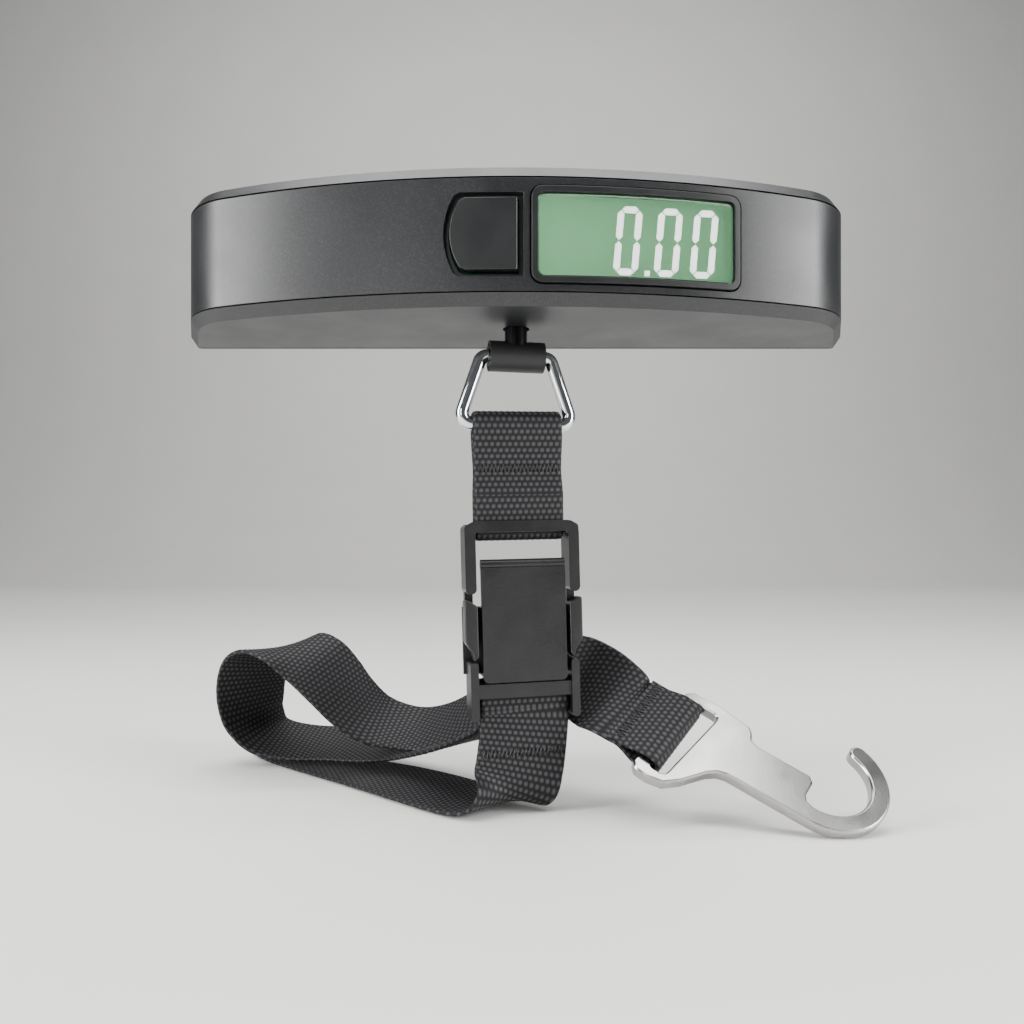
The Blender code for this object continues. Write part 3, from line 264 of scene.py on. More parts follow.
# %% [markdown]
# ## Moulded plastics
# The housing is ABS with metal flake under a satin top, so it reads as charcoal with tiny bright specks.
# Each cell of a Voronoi pattern is a flake: six in ten stay dark, and the others are lighter by up to
# half of the way to the light tone. Real flake is finer, and it is drawn 0.24 mm across so that it shows.
# The rear cover, button and buckle are plain moulded plastics with the spark-eroded grain of the tool,
# which is a shallow bump 0.2 to 0.6 mm across.

# %% Plastic finishes
FLAKE = 0.24 * MM
# Each cell has a random value from 0 to 1. The light tone starts at the first of these two values, and would
# be full at the second.
FLAKE_STARTS = 0.60
FLAKE_FULL = 1.40


def flake_abs():
    """Charcoal plastic with flake cells, and a bump of fine grain over a slow unevenness."""
    made, tree, shader, place = start_material("Charcoal_ABS_with_metal_flake", "#121315", 0.36, ior=1.53)
    cells = add_node(tree, "TexVoronoi", {"Vector": place, "Scale": 1 / FLAKE})
    shade = add_node(tree, "SeparateColor", {"Color": cells.outputs["Color"]}).outputs["Red"]
    flake = spread(tree, shade, 0.0, 1.0, FLAKE_STARTS, FLAKE_FULL)
    blend_colours(tree, shader, flake, "#111214", "#2E3033")
    rough = spread(tree, noise(tree, place, 9 * MM, 4.0), 0.33, 0.42)
    tree.links.new(rough, shader.inputs["Roughness"])
    first = bump(tree, shader, noise(tree, place, 0.30 * MM, 3.0), 0.010 * MM)
    bump(tree, shader, noise(tree, place, 5 * MM), 0.012 * MM, first)
    return made


def moulded(name, dark, light, roughness, grain_mm, depth_mm):
    """Injection-moulded plastic with a spark-eroded grain: two close tones, and a fine even bump."""
    made, tree, shader, place = start_material(name, dark, roughness, ior=1.48)
    cloud = noise(tree, place, 3 * MM, 3.0)
    blend_colours(tree, shader, spread(tree, cloud, 0.0, 1.0), dark, light)
    rough = spread(tree, noise(tree, place, 6 * MM, 4.0), roughness - 0.04, roughness + 0.05)
    tree.links.new(rough, shader.inputs["Roughness"])
    bump(tree, shader, noise(tree, place, grain_mm * MM, 2.0), depth_mm * MM)
    return made


HOUSING = flake_abs()
REAR = moulded("Black_ABS_moulded", "#101112", "#151617", 0.52, 0.28, 0.020)
# Smooth black without flake, darker and bluer than the shell: painted shade on the faces under the housing.
UNDERSIDE_WITH_PAINTED_SHADE = moulded("Black_ABS_underside_with_painted_shade", "#0B0C0F", "#0F1115", 0.45, 0.60, 0.006)
BUTTON = moulded("Black_ABS_button", "#0D0E0F", "#121314", 0.42, 0.22, 0.010)
SLEEVE = moulded("Matte_black_nylon_sleeve", "#0A0A0B", "#0F0F10", 0.55, 0.20, 0.014)
BUCKLE = moulded("Dark_grey_acetal_moulded", "#0E0E0F", "#151516", 0.36, 0.34, 0.040)

# %% [markdown]
# ## Metals
# The ring is steel wire, polished and chrome plated: almost a mirror, with a faint waviness from
# polishing. The hook is die-cast zinc with satin nickel, which is softer and a little warmer. Both are
# metals, so their colour is the reflection's colour. The eye is black-oxide steel, the load cell is
# machined aluminium, and screws, nut, contacts and coin cell are plated steel.


# %% Metal finishes
def metal(name, colour, low, high, grain_mm, depth_mm):
    """A metal whose roughness drifts from low to high, with marks grain_mm across."""
    made, tree, shader, place = start_material(name, colour, low, 1.0)
    rough = spread(tree, noise(tree, place, 4 * MM, 5.0), low, high)
    tree.links.new(rough, shader.inputs["Roughness"])
    bump(tree, shader, noise(tree, place, grain_mm * MM, 4.0), depth_mm * MM)
    return made


CHROME = metal("Polished_chrome_plate", "#DADCE0", 0.05, 0.12, 0.8, 0.002)
NICKEL = metal("Satin_nickel_on_die_cast_zinc", "#AFAEAC", 0.20, 0.30, 0.35, 0.006)
BLACK_STEEL = metal("Black_oxide_steel", "#1C1C1E", 0.34, 0.46, 0.5, 0.004)
STEEL = metal("Zinc_plated_steel", "#BDBDBB", 0.24, 0.38, 0.5, 0.004)
ALUMINIUM = metal("Machined_aluminium", "#C8CACD", 0.28, 0.40, 0.3, 0.006)


# %% [markdown]
# ## Display, window and inner pieces
# The window is clear acrylic over a green backlit glass whose light is stronger at its left. The light
# falls off along X, so a gradient on the object's own X coordinate drives both its colour and its glow.
# The board, the resin and the leads are inside the housing, and get the colours that such pieces have.

# %% Display and inner finishes
display_low, display_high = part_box("lcd_glass")


def lit_display():
    """The lit glass behind the figures: its tone falls from left to right."""
    made, tree, shader, place = start_material("Green_backlit_display", "#82AE88", 0.30, ior=1.52)
    along = add_node(tree, "SeparateXYZ", {"Vector": place}).outputs["X"]
    fall = spread(tree, along, 0.0, 1.0, display_low.x, display_high.x)
    colour = blend_colours(tree, shader, fall, "#6FA97B", "#5A8E65")
    tree.links.new(colour, shader.inputs["Emission Color"])
    shader.inputs["Emission Strength"].default_value = 0.60
    return made


def plain(name, dark, light, roughness, ior=1.5):
    """A small inner piece: two close tones in soft patches."""
    made, tree, shader, place = start_material(name, dark, roughness, ior=ior)
    blend_colours(tree, shader, noise(tree, place, 2 * MM, 3.0), dark, light)
    bump(tree, shader, noise(tree, place, 0.4 * MM), 0.006 * MM)
    return made


def clear_acrylic():
    """Clear moulded window with a very slow unevenness."""
    made, tree, shader, place = start_material("Clear_acrylic_window", "#FFFFFF", 0.03, ior=1.49)
    shader.inputs["Transmission Weight"].default_value = 1.0
    bump(tree, shader, noise(tree, place, 12 * MM), 0.004 * MM)
    return made


def glowing(name, colour, strength):
    """One even colour that gives off light, as a lit segment does."""
    made, _, shader, _ = start_material(name, colour, 0.4)
    shader.inputs["Emission Color"].default_value = linear(colour)
    shader.inputs["Emission Strength"].default_value = strength
    return made


DISPLAY = lit_display()
WINDOW = clear_acrylic()
DIGITS = glowing("White_display_segment", "#F4F8F4", 1.6)
LIGHT_GUIDE = plain("White_acrylic_light_guide", "#D6D8D6", "#E2E4E2", 0.45)
BOARD = plain("Green_solder_resist", "#0E5A33", "#136B3D", 0.35)
RESIN = plain("Black_epoxy_resin", "#141414", "#1C1C1C", 0.30)
FILM = plain("Amber_polyimide_film", "#B9762A", "#C68436", 0.35)
RED_LEAD = plain("Red_PVC_lead", "#A41616", "#B42020", 0.42)
BLACK_LEAD = plain("Black_PVC_lead", "#161616", "#1E1E1E", 0.42)

# %% [markdown]
# ## Woven nylon
# The webbing's relief is modelled, so its material only adds what is finer: filaments along each yarn,
# smoother crowns, and painted light from the crown level: a painted highlight on the crowns and painted
# shade in the gaps. It reads the webbing's own UV map, which is laid out in millimetres.


# %% Webbing finish
# One crown of the weave and its gap: a fifteenth of the webbing's width.
PICK_MM = 1.333
# Per millimetre of the UV map: filaments lie close across a yarn and run long along it.
FILAMENT_SCALE = (9.0, 1.6, 1.0)
FILAMENT_RELIEF = 0.06 * MM


def woven_nylon():
    """Black nylon: painted shade in the gaps, a painted highlight on the smoother crowns, and filaments
    along the yarns.
    """
    made, tree, shader, _ = start_material("Woven_black_nylon", "#17171A", 0.55, ior=1.53)
    uv = add_node(tree, "UVMap", uv_map="weave").outputs["UV"]
    crown = add_node(tree, "VertexColor", layer_name="crown")
    level = add_node(tree, "SeparateColor", {"Color": crown.outputs["Color"]}).outputs["Red"]
    # The crown level paints light: a painted highlight on the crowns and painted shade in the gaps.
    blend_colours(tree, shader, spread(tree, level, 0.0, 1.0, 0.35, 0.95), "#030304", "#3A3A3E")
    tree.links.new(spread(tree, level, 0.72, 0.36, 0.2, 1.0), shader.inputs["Roughness"])
    stretched = add_node(tree, "Mapping", {"Vector": uv, "Scale": FILAMENT_SCALE})
    strands = add_node(
        tree, "TexNoise", {"Vector": stretched.outputs["Vector"], "Scale": 1.0, "Detail": 3.0}
    )
    bump(tree, shader, strands.outputs["Fac"], FILAMENT_RELIEF)
    shader.inputs["Specular IOR Level"].default_value = 0.3
    return made


WEBBING = woven_nylon()
THREAD = plain("Black_bonded_polyester_thread", "#121213", "#1C1C1E", 0.42)

# %% [markdown]
# ## Edges
# A moulded or cast edge is never sharp: it has a small round that catches the light, and that line of
# light is what shows a shape in black plastic. Each outer solid is copied, its triangles are merged back
# into faces, and a bevel of the real edge round is applied. The copy then stands for the solid.


# %% Rounded copies of the solids
MERGE_WITHIN = 0.004 * MM
FLAT_WITHIN = math.radians(1.0)
ROUND_ABOVE = math.radians(32)
SMOOTH_BELOW = math.radians(34)
ROUND_SEGMENTS = 2


def rounded_copy(node_name, body, finish, round_mm):
    """A copy of a solid with its sharp edges rounded by round_mm."""
    bpy.ops.object.select_all(action="DESELECT")
    piece = nodes[node_name].copy()
    piece.data = nodes[node_name].data.copy()
    piece.name = node_name + "_finished"
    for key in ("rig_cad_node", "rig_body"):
        if key in piece:
            del piece[key]
    piece.parent = None
    bpy.context.scene.collection.objects.link(piece)
    bpy.context.view_layer.objects.active = piece
    piece.select_set(True)
    bpy.ops.object.mode_set(mode="EDIT")
    bpy.ops.mesh.select_all(action="SELECT")
    bpy.ops.mesh.remove_doubles(threshold=MERGE_WITHIN)
    bpy.ops.mesh.dissolve_limited(angle_limit=FLAT_WITHIN)
    bpy.ops.object.mode_set(mode="OBJECT")
    bevel = piece.modifiers.new("edge_round", "BEVEL")
    bevel.width = round_mm * MM
    bevel.segments = ROUND_SEGMENTS
    bevel.limit_method = "ANGLE"
    bevel.angle_limit = ROUND_ABOVE
    bpy.ops.object.modifier_apply(modifier=bevel.name)
    bpy.ops.object.shade_smooth_by_angle(angle=SMOOTH_BELOW)
    level = piece.modifiers.new("flat_faces_stay_flat", "WEIGHTED_NORMAL")
    level.keep_sharp = True
    bpy.ops.object.modifier_apply(modifier=level.name)
    piece.data.materials.clear()
    piece.data.materials.append(finish)
    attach(piece, body)
    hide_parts(node_name)
    print(piece.name, len(piece.data.polygons), "faces")
    return piece


ROUNDED = (
    ("front_housing", "housing", "housing", HOUSING, 0.25),
    ("front_fascia", "housing", "housing", HOUSING, 0.14),
    ("rear_cover", "housing", "rear", REAR, 0.25),
    ("battery_cap", "cap", "rear", REAR, 0.20),
    ("display_bezel", "housing", "button", BUTTON, 0.16),
    ("unit_button", "button", "button", BUTTON, 0.40),
    ("buckle_receiver", "buckle_top", "buckle", BUCKLE, 0.35),
    ("buckle_plug", "buckle_bottom", "buckle", BUCKLE, 0.30),
    ("release_tab_left", "tab_left", "buckle", BUCKLE, 0.30),
    ("release_tab_right", "tab_right", "buckle", BUCKLE, 0.30),
    ("eye_sleeve", "swivel", "sleeve", SLEEVE, 0.20),
    ("hook", "hook", "hook_nickel", NICKEL, 0.10),
)
finished = {}
for node_name, body, slot, finish, round_mm in ROUNDED:
    finished[node_name] = rounded_copy(node_name, body, finish, round_mm)

# %% [markdown]
# ### Underside with painted shade
# The housing's faces that point down get a second material: smooth black without flake, whose colour is
# darker and bluer than the shell's as painted shade under the housing.

# %% Smooth underside
POINTS_DOWN = -0.98
shell = finished["front_housing"].data
shell.materials.append(UNDERSIDE_WITH_PAINTED_SHADE)
for face in shell.polygons:
    if face.normal.z < POINTS_DOWN:
        face.material_index = 1
print("underside faces:", sum(face.material_index == 1 for face in shell.polygons))

# %% [markdown]
# ### Solids that keep their own mesh
# Inner and small pieces keep the mesh of their solid and only get a finish. A solid that isn't listed is
# plated steel.

# %% Finishes of the solids that stay
KEPT = {
    "display_window": WINDOW,
    "lcd_glass": DISPLAY,
    "backlight": LIGHT_GUIDE,
    "lcd_connector": RESIN,
    "chip_resin": RESIN,
    "circuit_board": BOARD,
    "battery_lead_red": RED_LEAD,
    "battery_lead_black": BLACK_LEAD,
    "gauge_lead": RED_LEAD,
    "strain_gauge_top": FILM,
    "strain_gauge_bottom": FILM,
    "load_cell": ALUMINIUM,
    "battery_holder": REAR,
    "load_cell_block": REAR,
    "load_eye": BLACK_STEEL,
}
for name, thing in nodes.items():
    thing.data.materials.clear()
    thing.data.materials.append(KEPT.get(name, STEEL))

# %% [markdown]
# ### The ring
# Polished chrome shows every facet, so the ring is swept again as a fine round wire: straight over the
# eye, down two leaning sides and straight under the webbing, with a bend at each corner.

# %% Ring
WIRE_RADIUS = 1.5 * MM
RING_LEAN = math.radians(19)
SLEEVE_LENGTH = 12.4 * MM
SLEEVE_SPACE = 0.25 * MM
BEND_STEPS = 18
BENDS = (2.0 * MM, 2.0 * MM, 2.3 * MM, 2.3 * MM)


def arc(centre, radius, start, end, steps):
    """Points along an arc, from the angle start to the angle end."""
    angles = [start + (end - start) * i / steps for i in range(steps + 1)]
    return [(centre[0] + radius * math.cos(a), centre[1] + radius * math.sin(a)) for a in angles]


def bent_wire(corners, radii):
    """A closed outline of straight lines, with an arc at each corner."""
    points = []
    for k, (corner, radius) in enumerate(zip(corners, radii)):
        here = Vector(corner)
        back = (Vector(corners[k - 1]) - here).normalized()
        on = (Vector(corners[(k + 1) % len(corners)]) - here).normalized()
        half = back.angle(on) / 2
        middle = here + (back + on).normalized() * (radius / math.sin(half))
        first = here + back * (radius / math.tan(half)) - middle
        turn = (math.pi - 2 * half) * (1 if back.cross(on) < 0 else -1)
        start = math.atan2(first.y, first.x)
        points += arc(middle, radius, start, start + turn, BEND_STEPS)
    return points


top_x = SLEEVE_LENGTH / 2 + SLEEVE_SPACE + BENDS[0] * math.tan((math.pi / 2 - RING_LEAN) / 2)
low_x = top_x + RING_DROP * math.tan(RING_LEAN)
outline = bent_wire([(top_x, 0.0), (-top_x, 0.0), (-low_x, -RING_DROP), (low_x, -RING_DROP)], BENDS)
HANG = Matrix.Translation((0, 0, EYE_Z)) @ Matrix.Rotation(HANG_YAW, 4, "Z")
curve = bpy.data.curves.new("ring_wire", "CURVE")
curve.dimensions = "3D"
curve.bevel_depth = WIRE_RADIUS
curve.bevel_resolution = 8
wire_line = curve.splines.new("POLY")
wire_line.points.add(len(outline) - 1)
for made, (x, z) in zip(wire_line.points, outline):
    made.co = (*(HANG @ Vector((x, 0, z))), 1.0)
wire_line.use_cyclic_u = True
ring = bpy.data.objects.new("ring_wire", curve)
bpy.context.scene.collection.objects.link(ring)
bpy.ops.object.select_all(action="DESELECT")
bpy.context.view_layer.objects.active = ring
ring.select_set(True)
bpy.ops.object.convert(target="MESH")
ring = bpy.context.object
ring.data.shade_smooth()
ring.data.materials.append(CHROME)
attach(ring, "ring")
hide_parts("ring")
print("ring wire:", len(ring.data.polygons), "faces")

# %% [markdown]
# ## Webbing
# Webbing keeps its width and its length, and it only bends and twists. So each strap is a line of
# stations: the middle of the webbing, and the way that its width points. A smooth curve runs through
# them, and the strap is a fine grid carried along it, with a rounded selvedge at each edge. The weave is
# real relief: rows of crowns, 15 across the strap, and each row half a crown along from the one before.

# %% Smooth curve and strap mesh
STEP_MM = PICK_MM / 4
ACROSS = 60
RELIEF_MM = 0.16
SELVEDGE = 0.7 * MM
BASE_SHARE = 0.88
ROW_SHARE = 0.12


def smooth(route, between):
    """Points along a Catmull-Rom curve through the route's own points."""
    ends = [Vector(p) for p in route]
    ends = [2 * ends[0] - ends[1], *ends, 2 * ends[-1] - ends[-2]]
    points = []
    for a, b, c, d in zip(ends, ends[1:], ends[2:], ends[3:]):
        for k in range(between):
            t = k / between
            bend = 2 * a - 5 * b + 4 * c - d
            twist = 3 * b - a - 3 * c + d
            points.append(0.5 * (2 * b + (c - a) * t + bend * t**2 + twist * t**3))
    return np.array(points + [ends[-2]])


def even_steps(points, widths, step):
    """The same curve with points step apart."""
    lengths = np.r_[0, np.cumsum(np.linalg.norm(np.diff(points, axis=0), axis=1))]
    count = max(2, round(lengths[-1] / step))
    at = np.linspace(0, lengths[-1], count + 1)
    return (
        np.stack([np.interp(at, lengths, points[:, k]) for k in range(3)], 1),
        np.stack([np.interp(at, lengths, widths[:, k]) for k in range(3)], 1),
        at,
    )


def unit(rows):
    """The rows, each with a length of one."""
    return rows / np.linalg.norm(rows, axis=1, keepdims=True)


def webbing(name, points, widths, body, replaces, closed=False):
    """A woven strap along the points. closed joins its end to its start."""
    points, widths, at = even_steps(points, widths, STEP_MM * MM)
    if closed:
        points, widths, at = points[:-1], widths[:-1], at[:-1]
        ahead = unit(np.roll(points, -1, 0) - np.roll(points, 1, 0))
    else:
        ahead = unit(np.gradient(points, axis=0))
    across = unit(widths - ahead * (widths * ahead).sum(1, keepdims=True))
    outward = np.cross(across, ahead)
    side = np.linspace(-1, 1, ACROSS + 1) * WEB_WIDTH / 2
    from_edge = np.clip((WEB_WIDTH / 2 - np.abs(side)) / SELVEDGE, 0, 1)
    half = WEB_THICKNESS / 2 * np.sqrt(1 - (1 - from_edge) ** 2)
    u, v = np.meshgrid(side / MM, at / MM)
    row = np.floor(v / PICK_MM)
    pick = np.abs(np.sin(math.pi * v / PICK_MM))
    cord = np.abs(np.sin(math.pi * (u / PICK_MM + 0.5 * (row % 2))))
    crown = pick**0.9 * (ROW_SHARE + (1 - ROW_SHARE) * cord)
    lift = half[None, :] * BASE_SHARE + (crown - 0.5) * RELIEF_MM * MM * from_edge[None, :]
    middle = points[:, None, :] + across[:, None, :] * side[None, :, None]
    faces_up = middle + outward[:, None, :] * lift[:, :, None]
    faces_down = middle - outward[:, None, :] * lift[:, :, None]
    rows, columns = crown.shape
    count = rows * columns
    vertices = np.concatenate([faces_up.reshape(-1, 3), faces_down[:, 1:-1].reshape(-1, 3)])
    index_up = np.arange(count).reshape(rows, columns)
    index_down = index_up.copy()
    index_down[:, 1:-1] = count + np.arange(rows * (columns - 2)).reshape(rows, columns - 2)
    if closed:
        index_up = np.vstack([index_up, index_up[:1]])
        index_down = np.vstack([index_down, index_down[:1]])
    up = np.stack([index_up[:-1, :-1], index_up[1:, :-1], index_up[1:, 1:], index_up[:-1, 1:]], -1)
    down = np.stack(
        [index_down[:-1, :-1], index_down[:-1, 1:], index_down[1:, 1:], index_down[1:, :-1]], -1
    )
    quads = [tuple(q) for q in np.concatenate([up.reshape(-1, 4), down.reshape(-1, 4)]).tolist()]
    if not closed:
        for row, turn in ((0, 1), (-1, -1)):
            rim = [int(i) for i in index_up[row]] + [int(i) for i in index_down[row][-2:0:-1]]
            quads.append(tuple(rim[::turn]))
    mesh = bpy.data.meshes.new(name)
    mesh.from_pydata(vertices.tolist(), [], quads)
    uv_layer = mesh.uv_layers.new(name="weave")
    flat_u = np.concatenate([u.ravel(), u[:, 1:-1].ravel()])
    flat_v = np.concatenate([v.ravel(), v[:, 1:-1].ravel()])
    loops = np.empty(len(mesh.loops), np.int32)
    mesh.loops.foreach_get("vertex_index", loops)
    uv_layer.data.foreach_set("uv", np.stack([flat_u[loops], flat_v[loops]], 1).astype(np.float32).ravel())
    # The crown level is also stored as a colour, which the material turns into a painted highlight on the
    # crowns and painted shade in the gaps.
    colour = mesh.color_attributes.new(name="crown", type="FLOAT_COLOR", domain="POINT")
    level = np.concatenate([crown.ravel(), crown[:, 1:-1].ravel()])
    rgba = np.stack([level, level, level, np.ones_like(level)], 1).astype(np.float32)
    colour.data.foreach_set("color", rgba.ravel())
    mesh.validate()
    made = bpy.data.objects.new(name, mesh)
    bpy.context.scene.collection.objects.link(made)
    work = bmesh.new()
    work.from_mesh(mesh)
    bmesh.ops.recalc_face_normals(work, faces=work.faces)
    work.to_mesh(mesh)
    work.free()
    mesh.shade_smooth()
    mesh.materials.append(WEBBING)
    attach(made, body)
    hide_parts(*replaces)
    print(name, "length", round(at[-1] / MM, 1), "mm,", len(mesh.polygons), "faces")
    return made, points, at[-1]


# %% [markdown]
# ### Webbing on the bars
# The upper loop goes round the ring's bar and the buckle's bar and is sewn flat between them. Below, a
# second turn passes over the buckle's lower bar. Both are drawn from the side, in the strap's own frame,
# which hangs from the ring a little turned and a little tilted.

# %% Upper loop and lower turn
STRAP = (
    Matrix.Translation((0, 0, EYE_Z))
    @ Matrix.Rotation(HANG_YAW, 4, "Z")
    @ Matrix.Translation((0, 0, -RING_DROP))
    @ Matrix.Rotation(HANG_ROLL, 4, "Y")
)
STRAP_WIDE = STRAP.to_3x3() @ Vector((1, 0, 0))
RING_TURN = 2.5 * MM
BAR_TURN = 2.1 * MM
BAR_Y = 0.6 * MM
TOP_BAR_Z = -23.2 * MM
LOWER_BAR_Z = -59.0 * MM
SEAM_Z = -9.8 * MM
SEAM_HALF = 0.70 * MM
TURN_STEPS = 8
LINE_STEPS = 8
LOWER_TURN_STEPS = 10
LOWER_LINE_STEPS = 6


def in_strap(profile):
    """Side-view points of the strap as places in the scene."""
    return [STRAP @ Vector((0, y, z)) for y, z in profile]


front = [
    (-BAR_TURN + 0.2 * MM, -15.5 * MM),
    (-SEAM_HALF - 0.3 * MM, SEAM_Z - 2.2 * MM),
    (-SEAM_HALF, SEAM_Z),
    (-SEAM_HALF - 0.5 * MM, SEAM_Z + 2.4 * MM),
    (-RING_TURN + 0.3 * MM, -3.6 * MM),
]
back = [
    (RING_TURN - 0.3 * MM, -3.6 * MM),
    (SEAM_HALF + 0.5 * MM, SEAM_Z + 2.4 * MM),
    (SEAM_HALF, SEAM_Z),
    (SEAM_HALF + 0.4 * MM, SEAM_Z - 2.2 * MM),
    (BAR_Y + BAR_TURN - 0.5 * MM, -15.5 * MM),
]
over_ring = arc((0, 0), RING_TURN, math.pi, 0, TURN_STEPS)
under_bar = arc((BAR_Y, TOP_BAR_Z), BAR_TURN, 0, -math.pi, TURN_STEPS)
profile = front + over_ring + back + under_bar
line = in_strap(profile + profile[:1])
points = smooth(line, LINE_STEPS)
webbing(
    "upper_webbing_loop",
    points,
    np.array([STRAP_WIDE] * len(points)),
    "buckle_top",
    ["upper_strap"],
    closed=True,
)

hang = LOWER_BAR_Z - 4.6 * MM
above = hang + 1.6 * MM
front = [(BAR_Y - BAR_TURN, hang), (BAR_Y - BAR_TURN, above)]
back = [(BAR_Y + BAR_TURN, above), (BAR_Y + BAR_TURN, hang)]
profile = front + arc((BAR_Y, LOWER_BAR_Z), BAR_TURN, math.pi, 0, LOWER_TURN_STEPS) + back
points = smooth(in_strap(profile), LOWER_LINE_STEPS)
webbing(
    "webbing_over_lower_bar", points, np.array([STRAP_WIDE] * len(points)), "buckle_bottom", ["strap_wrap"]
)

# %% [markdown]
# ### The slack strap and its tail
# The strap leaves the buckle, runs back along the bench, curls up and over on itself and comes back
# behind the buckle to the hook. The free end falls in front, touches down and lies under the curl. Their
# lengths are what shows: about a quarter of a metre to the hook, and 0.12 m for the tail, whose last 0.02
# m is under the curl.

# %% Strap and tail
# Each row is the middle of the webbing and the way that its width points.
ROUTE_STEPS = 12
MAIN_ROUTE = [
    ((0.0011, 0.0030, -0.1128), (0.981, 0.191, 0.026)),
    ((0.0012, 0.0031, -0.1138), (0.981, 0.191, 0.026)),
    ((0.0012, 0.0034, -0.1158), (0.98, 0.20, 0.03)),
    ((-0.0004, 0.0058, -0.1184), (0.96, 0.28, 0.03)),
    ((-0.0060, 0.0130, -0.1216), (0.85, 0.50, 0.05)),
    ((-0.0140, 0.0225, -0.1254), (0.75, 0.65, 0.10)),
    ((-0.0240, 0.0335, -0.1286), (0.60, 0.78, 0.18)),
    ((-0.0360, 0.0425, -0.1307), (0.40, 0.88, 0.24)),
    ((-0.0490, 0.0480, -0.1313), (0.25, 0.93, 0.26)),
    ((-0.0610, 0.0500, -0.1312), (0.20, 0.93, 0.28)),
    ((-0.0695, 0.0505, -0.1292), (0.35, 0.90, 0.26)),
    ((-0.0735, 0.0510, -0.1245), (0.60, 0.78, 0.16)),
    ((-0.0745, 0.0505, -0.1185), (0.76, 0.64, 0.10)),
    ((-0.0737, 0.0490, -0.1125), (0.82, 0.57, 0.06)),
    ((-0.0710, 0.0465, -0.1075), (0.85, 0.52, 0.06)),
    ((-0.0660, 0.0430, -0.1045), (0.86, 0.50, 0.10)),
    ((-0.0595, 0.0395, -0.1042), (0.80, 0.56, 0.22)),
    ((-0.0535, 0.0375, -0.1070), (0.66, 0.64, 0.38)),
    ((-0.0485, 0.0368, -0.1118), (0.52, 0.71, 0.46)),
    ((-0.0440, 0.0368, -0.1170), (0.42, 0.78, 0.46)),
    ((-0.0390, 0.0370, -0.1213), (0.35, 0.83, 0.43)),
    ((-0.0330, 0.0372, -0.1238), (0.25, 0.88, 0.40)),
    ((-0.0260, 0.0360, -0.1246), (0.15, 0.90, 0.38)),
    ((-0.0185, 0.0325, -0.1230), (0.10, 0.90, 0.42)),
    ((-0.0110, 0.0285, -0.1195), (0.10, 0.85, 0.52)),
    ((-0.0030, 0.0250, -0.1145), (0.18, 0.72, 0.66)),
    ((0.0050, 0.0210, -0.1095), (0.28, 0.50, 0.80)),
    ((0.0120, 0.0160, -0.1072), (0.40, 0.30, 0.86)),
    ((0.0170, 0.0095, -0.1085), (0.48, 0.28, 0.82)),
    ((0.0210, 0.0038, -0.1110), (0.55, 0.40, 0.70)),
    ((0.0238, 0.0005, -0.1128), (0.60, 0.58, 0.55)),
    ((0.02670, -0.00105, -0.11440), (0.60, 0.62, 0.51)),
]
TAIL_ROUTE = [
    ((0.0019, -0.0012, -0.1125), (0.981, 0.191, 0.026)),
    ((0.0020, -0.0012, -0.1150), (0.981, 0.191, 0.026)),
    ((0.0015, -0.0016, -0.1210), (0.98, 0.19, 0.01)),
    ((0.0008, -0.0022, -0.1262), (0.98, 0.20, 0.00)),
    ((-0.0002, -0.0026, -0.1300), (0.97, 0.24, 0.00)),
    ((-0.0020, -0.0020, -0.1327), (0.86, 0.50, 0.00)),
    ((-0.0055, 0.0004, -0.1345), (0.70, 0.71, 0.03)),
    ((-0.0110, 0.0046, -0.1350), (0.66, 0.75, 0.07)),
    ((-0.0200, 0.0130, -0.1348), (0.68, 0.73, 0.09)),
    ((-0.0310, 0.0240, -0.1350), (0.70, 0.71, 0.07)),
    ((-0.0420, 0.0345, -0.1354), (0.70, 0.71, 0.03)),
    ((-0.0520, 0.0440, -0.1358), (0.70, 0.71, 0.00)),
    ((-0.0600, 0.0520, -0.1358), (0.75, 0.66, 0.00)),
    ((-0.0648, 0.0578, -0.1358), (0.83, 0.56, 0.00)),
    ((-0.0684, 0.0644, -0.1358), (0.91, 0.41, 0.00)),
    ((-0.0706, 0.0716, -0.1358), (0.96, 0.28, 0.00)),
]


def route_webbing(name, route, replaces):
    """A strap along a route of middles and widths."""
    points = smooth([p for p, _ in route], ROUTE_STEPS)
    widths = smooth([w for _, w in route], ROUTE_STEPS)
    return webbing(name, points, widths, "buckle_bottom", replaces)


strap, strap_path, strap_length = route_webbing("slack_strap", MAIN_ROUTE, ["strap_main"])
tail, tail_path, tail_length = route_webbing("strap_free_end", TAIL_ROUTE, ["strap_tail"])

# %% [markdown]
# ### The fold round the hook's bar
# The strap's end goes round the bar in the hook's plate and is sewn to itself. It is drawn in the hook's
# own frame: along the stem, along the bar and off the face, in millimetres.

# %% Webbing fold round the hook's bar
FOLD_OFF = 1.24
HOOK_BAR = Vector((0.0330, -0.0042, -0.1180))
STEM = Vector((0.7955, -0.3977, -0.4580)).normalized()
BAR_WAY = Vector((0.6000, 0.6186, 0.5070))
BAR_WAY = (BAR_WAY - STEM * BAR_WAY.dot(STEM)).normalized()
FACE = STEM.cross(BAR_WAY)
HOOK = Matrix((STEM, BAR_WAY, FACE)).transposed().to_4x4()
HOOK.translation = HOOK_BAR
under = [(-8.4, 0.0), (-6.6, -0.1), (-4.8, -0.9), (-3.2, -1.8), (-1.4, -2.42), (0.8, -2.48), (2.3, -2.15)]
over = [
    (2.85, 1.2),
    (2.3, 2.15),
    (0.8, 2.48),
    (-1.4, 2.42),
    (-3.2, 1.9),
    (-5.0, 1.35),
    (-7.0, FOLD_OFF),
    (-9.4, FOLD_OFF),
]
profile = [*under, (2.85, -1.2), (2.9, 0.0), *over]
points = smooth([HOOK @ Vector((x * MM, 0, z * MM)) for x, z in profile], LINE_STEPS)
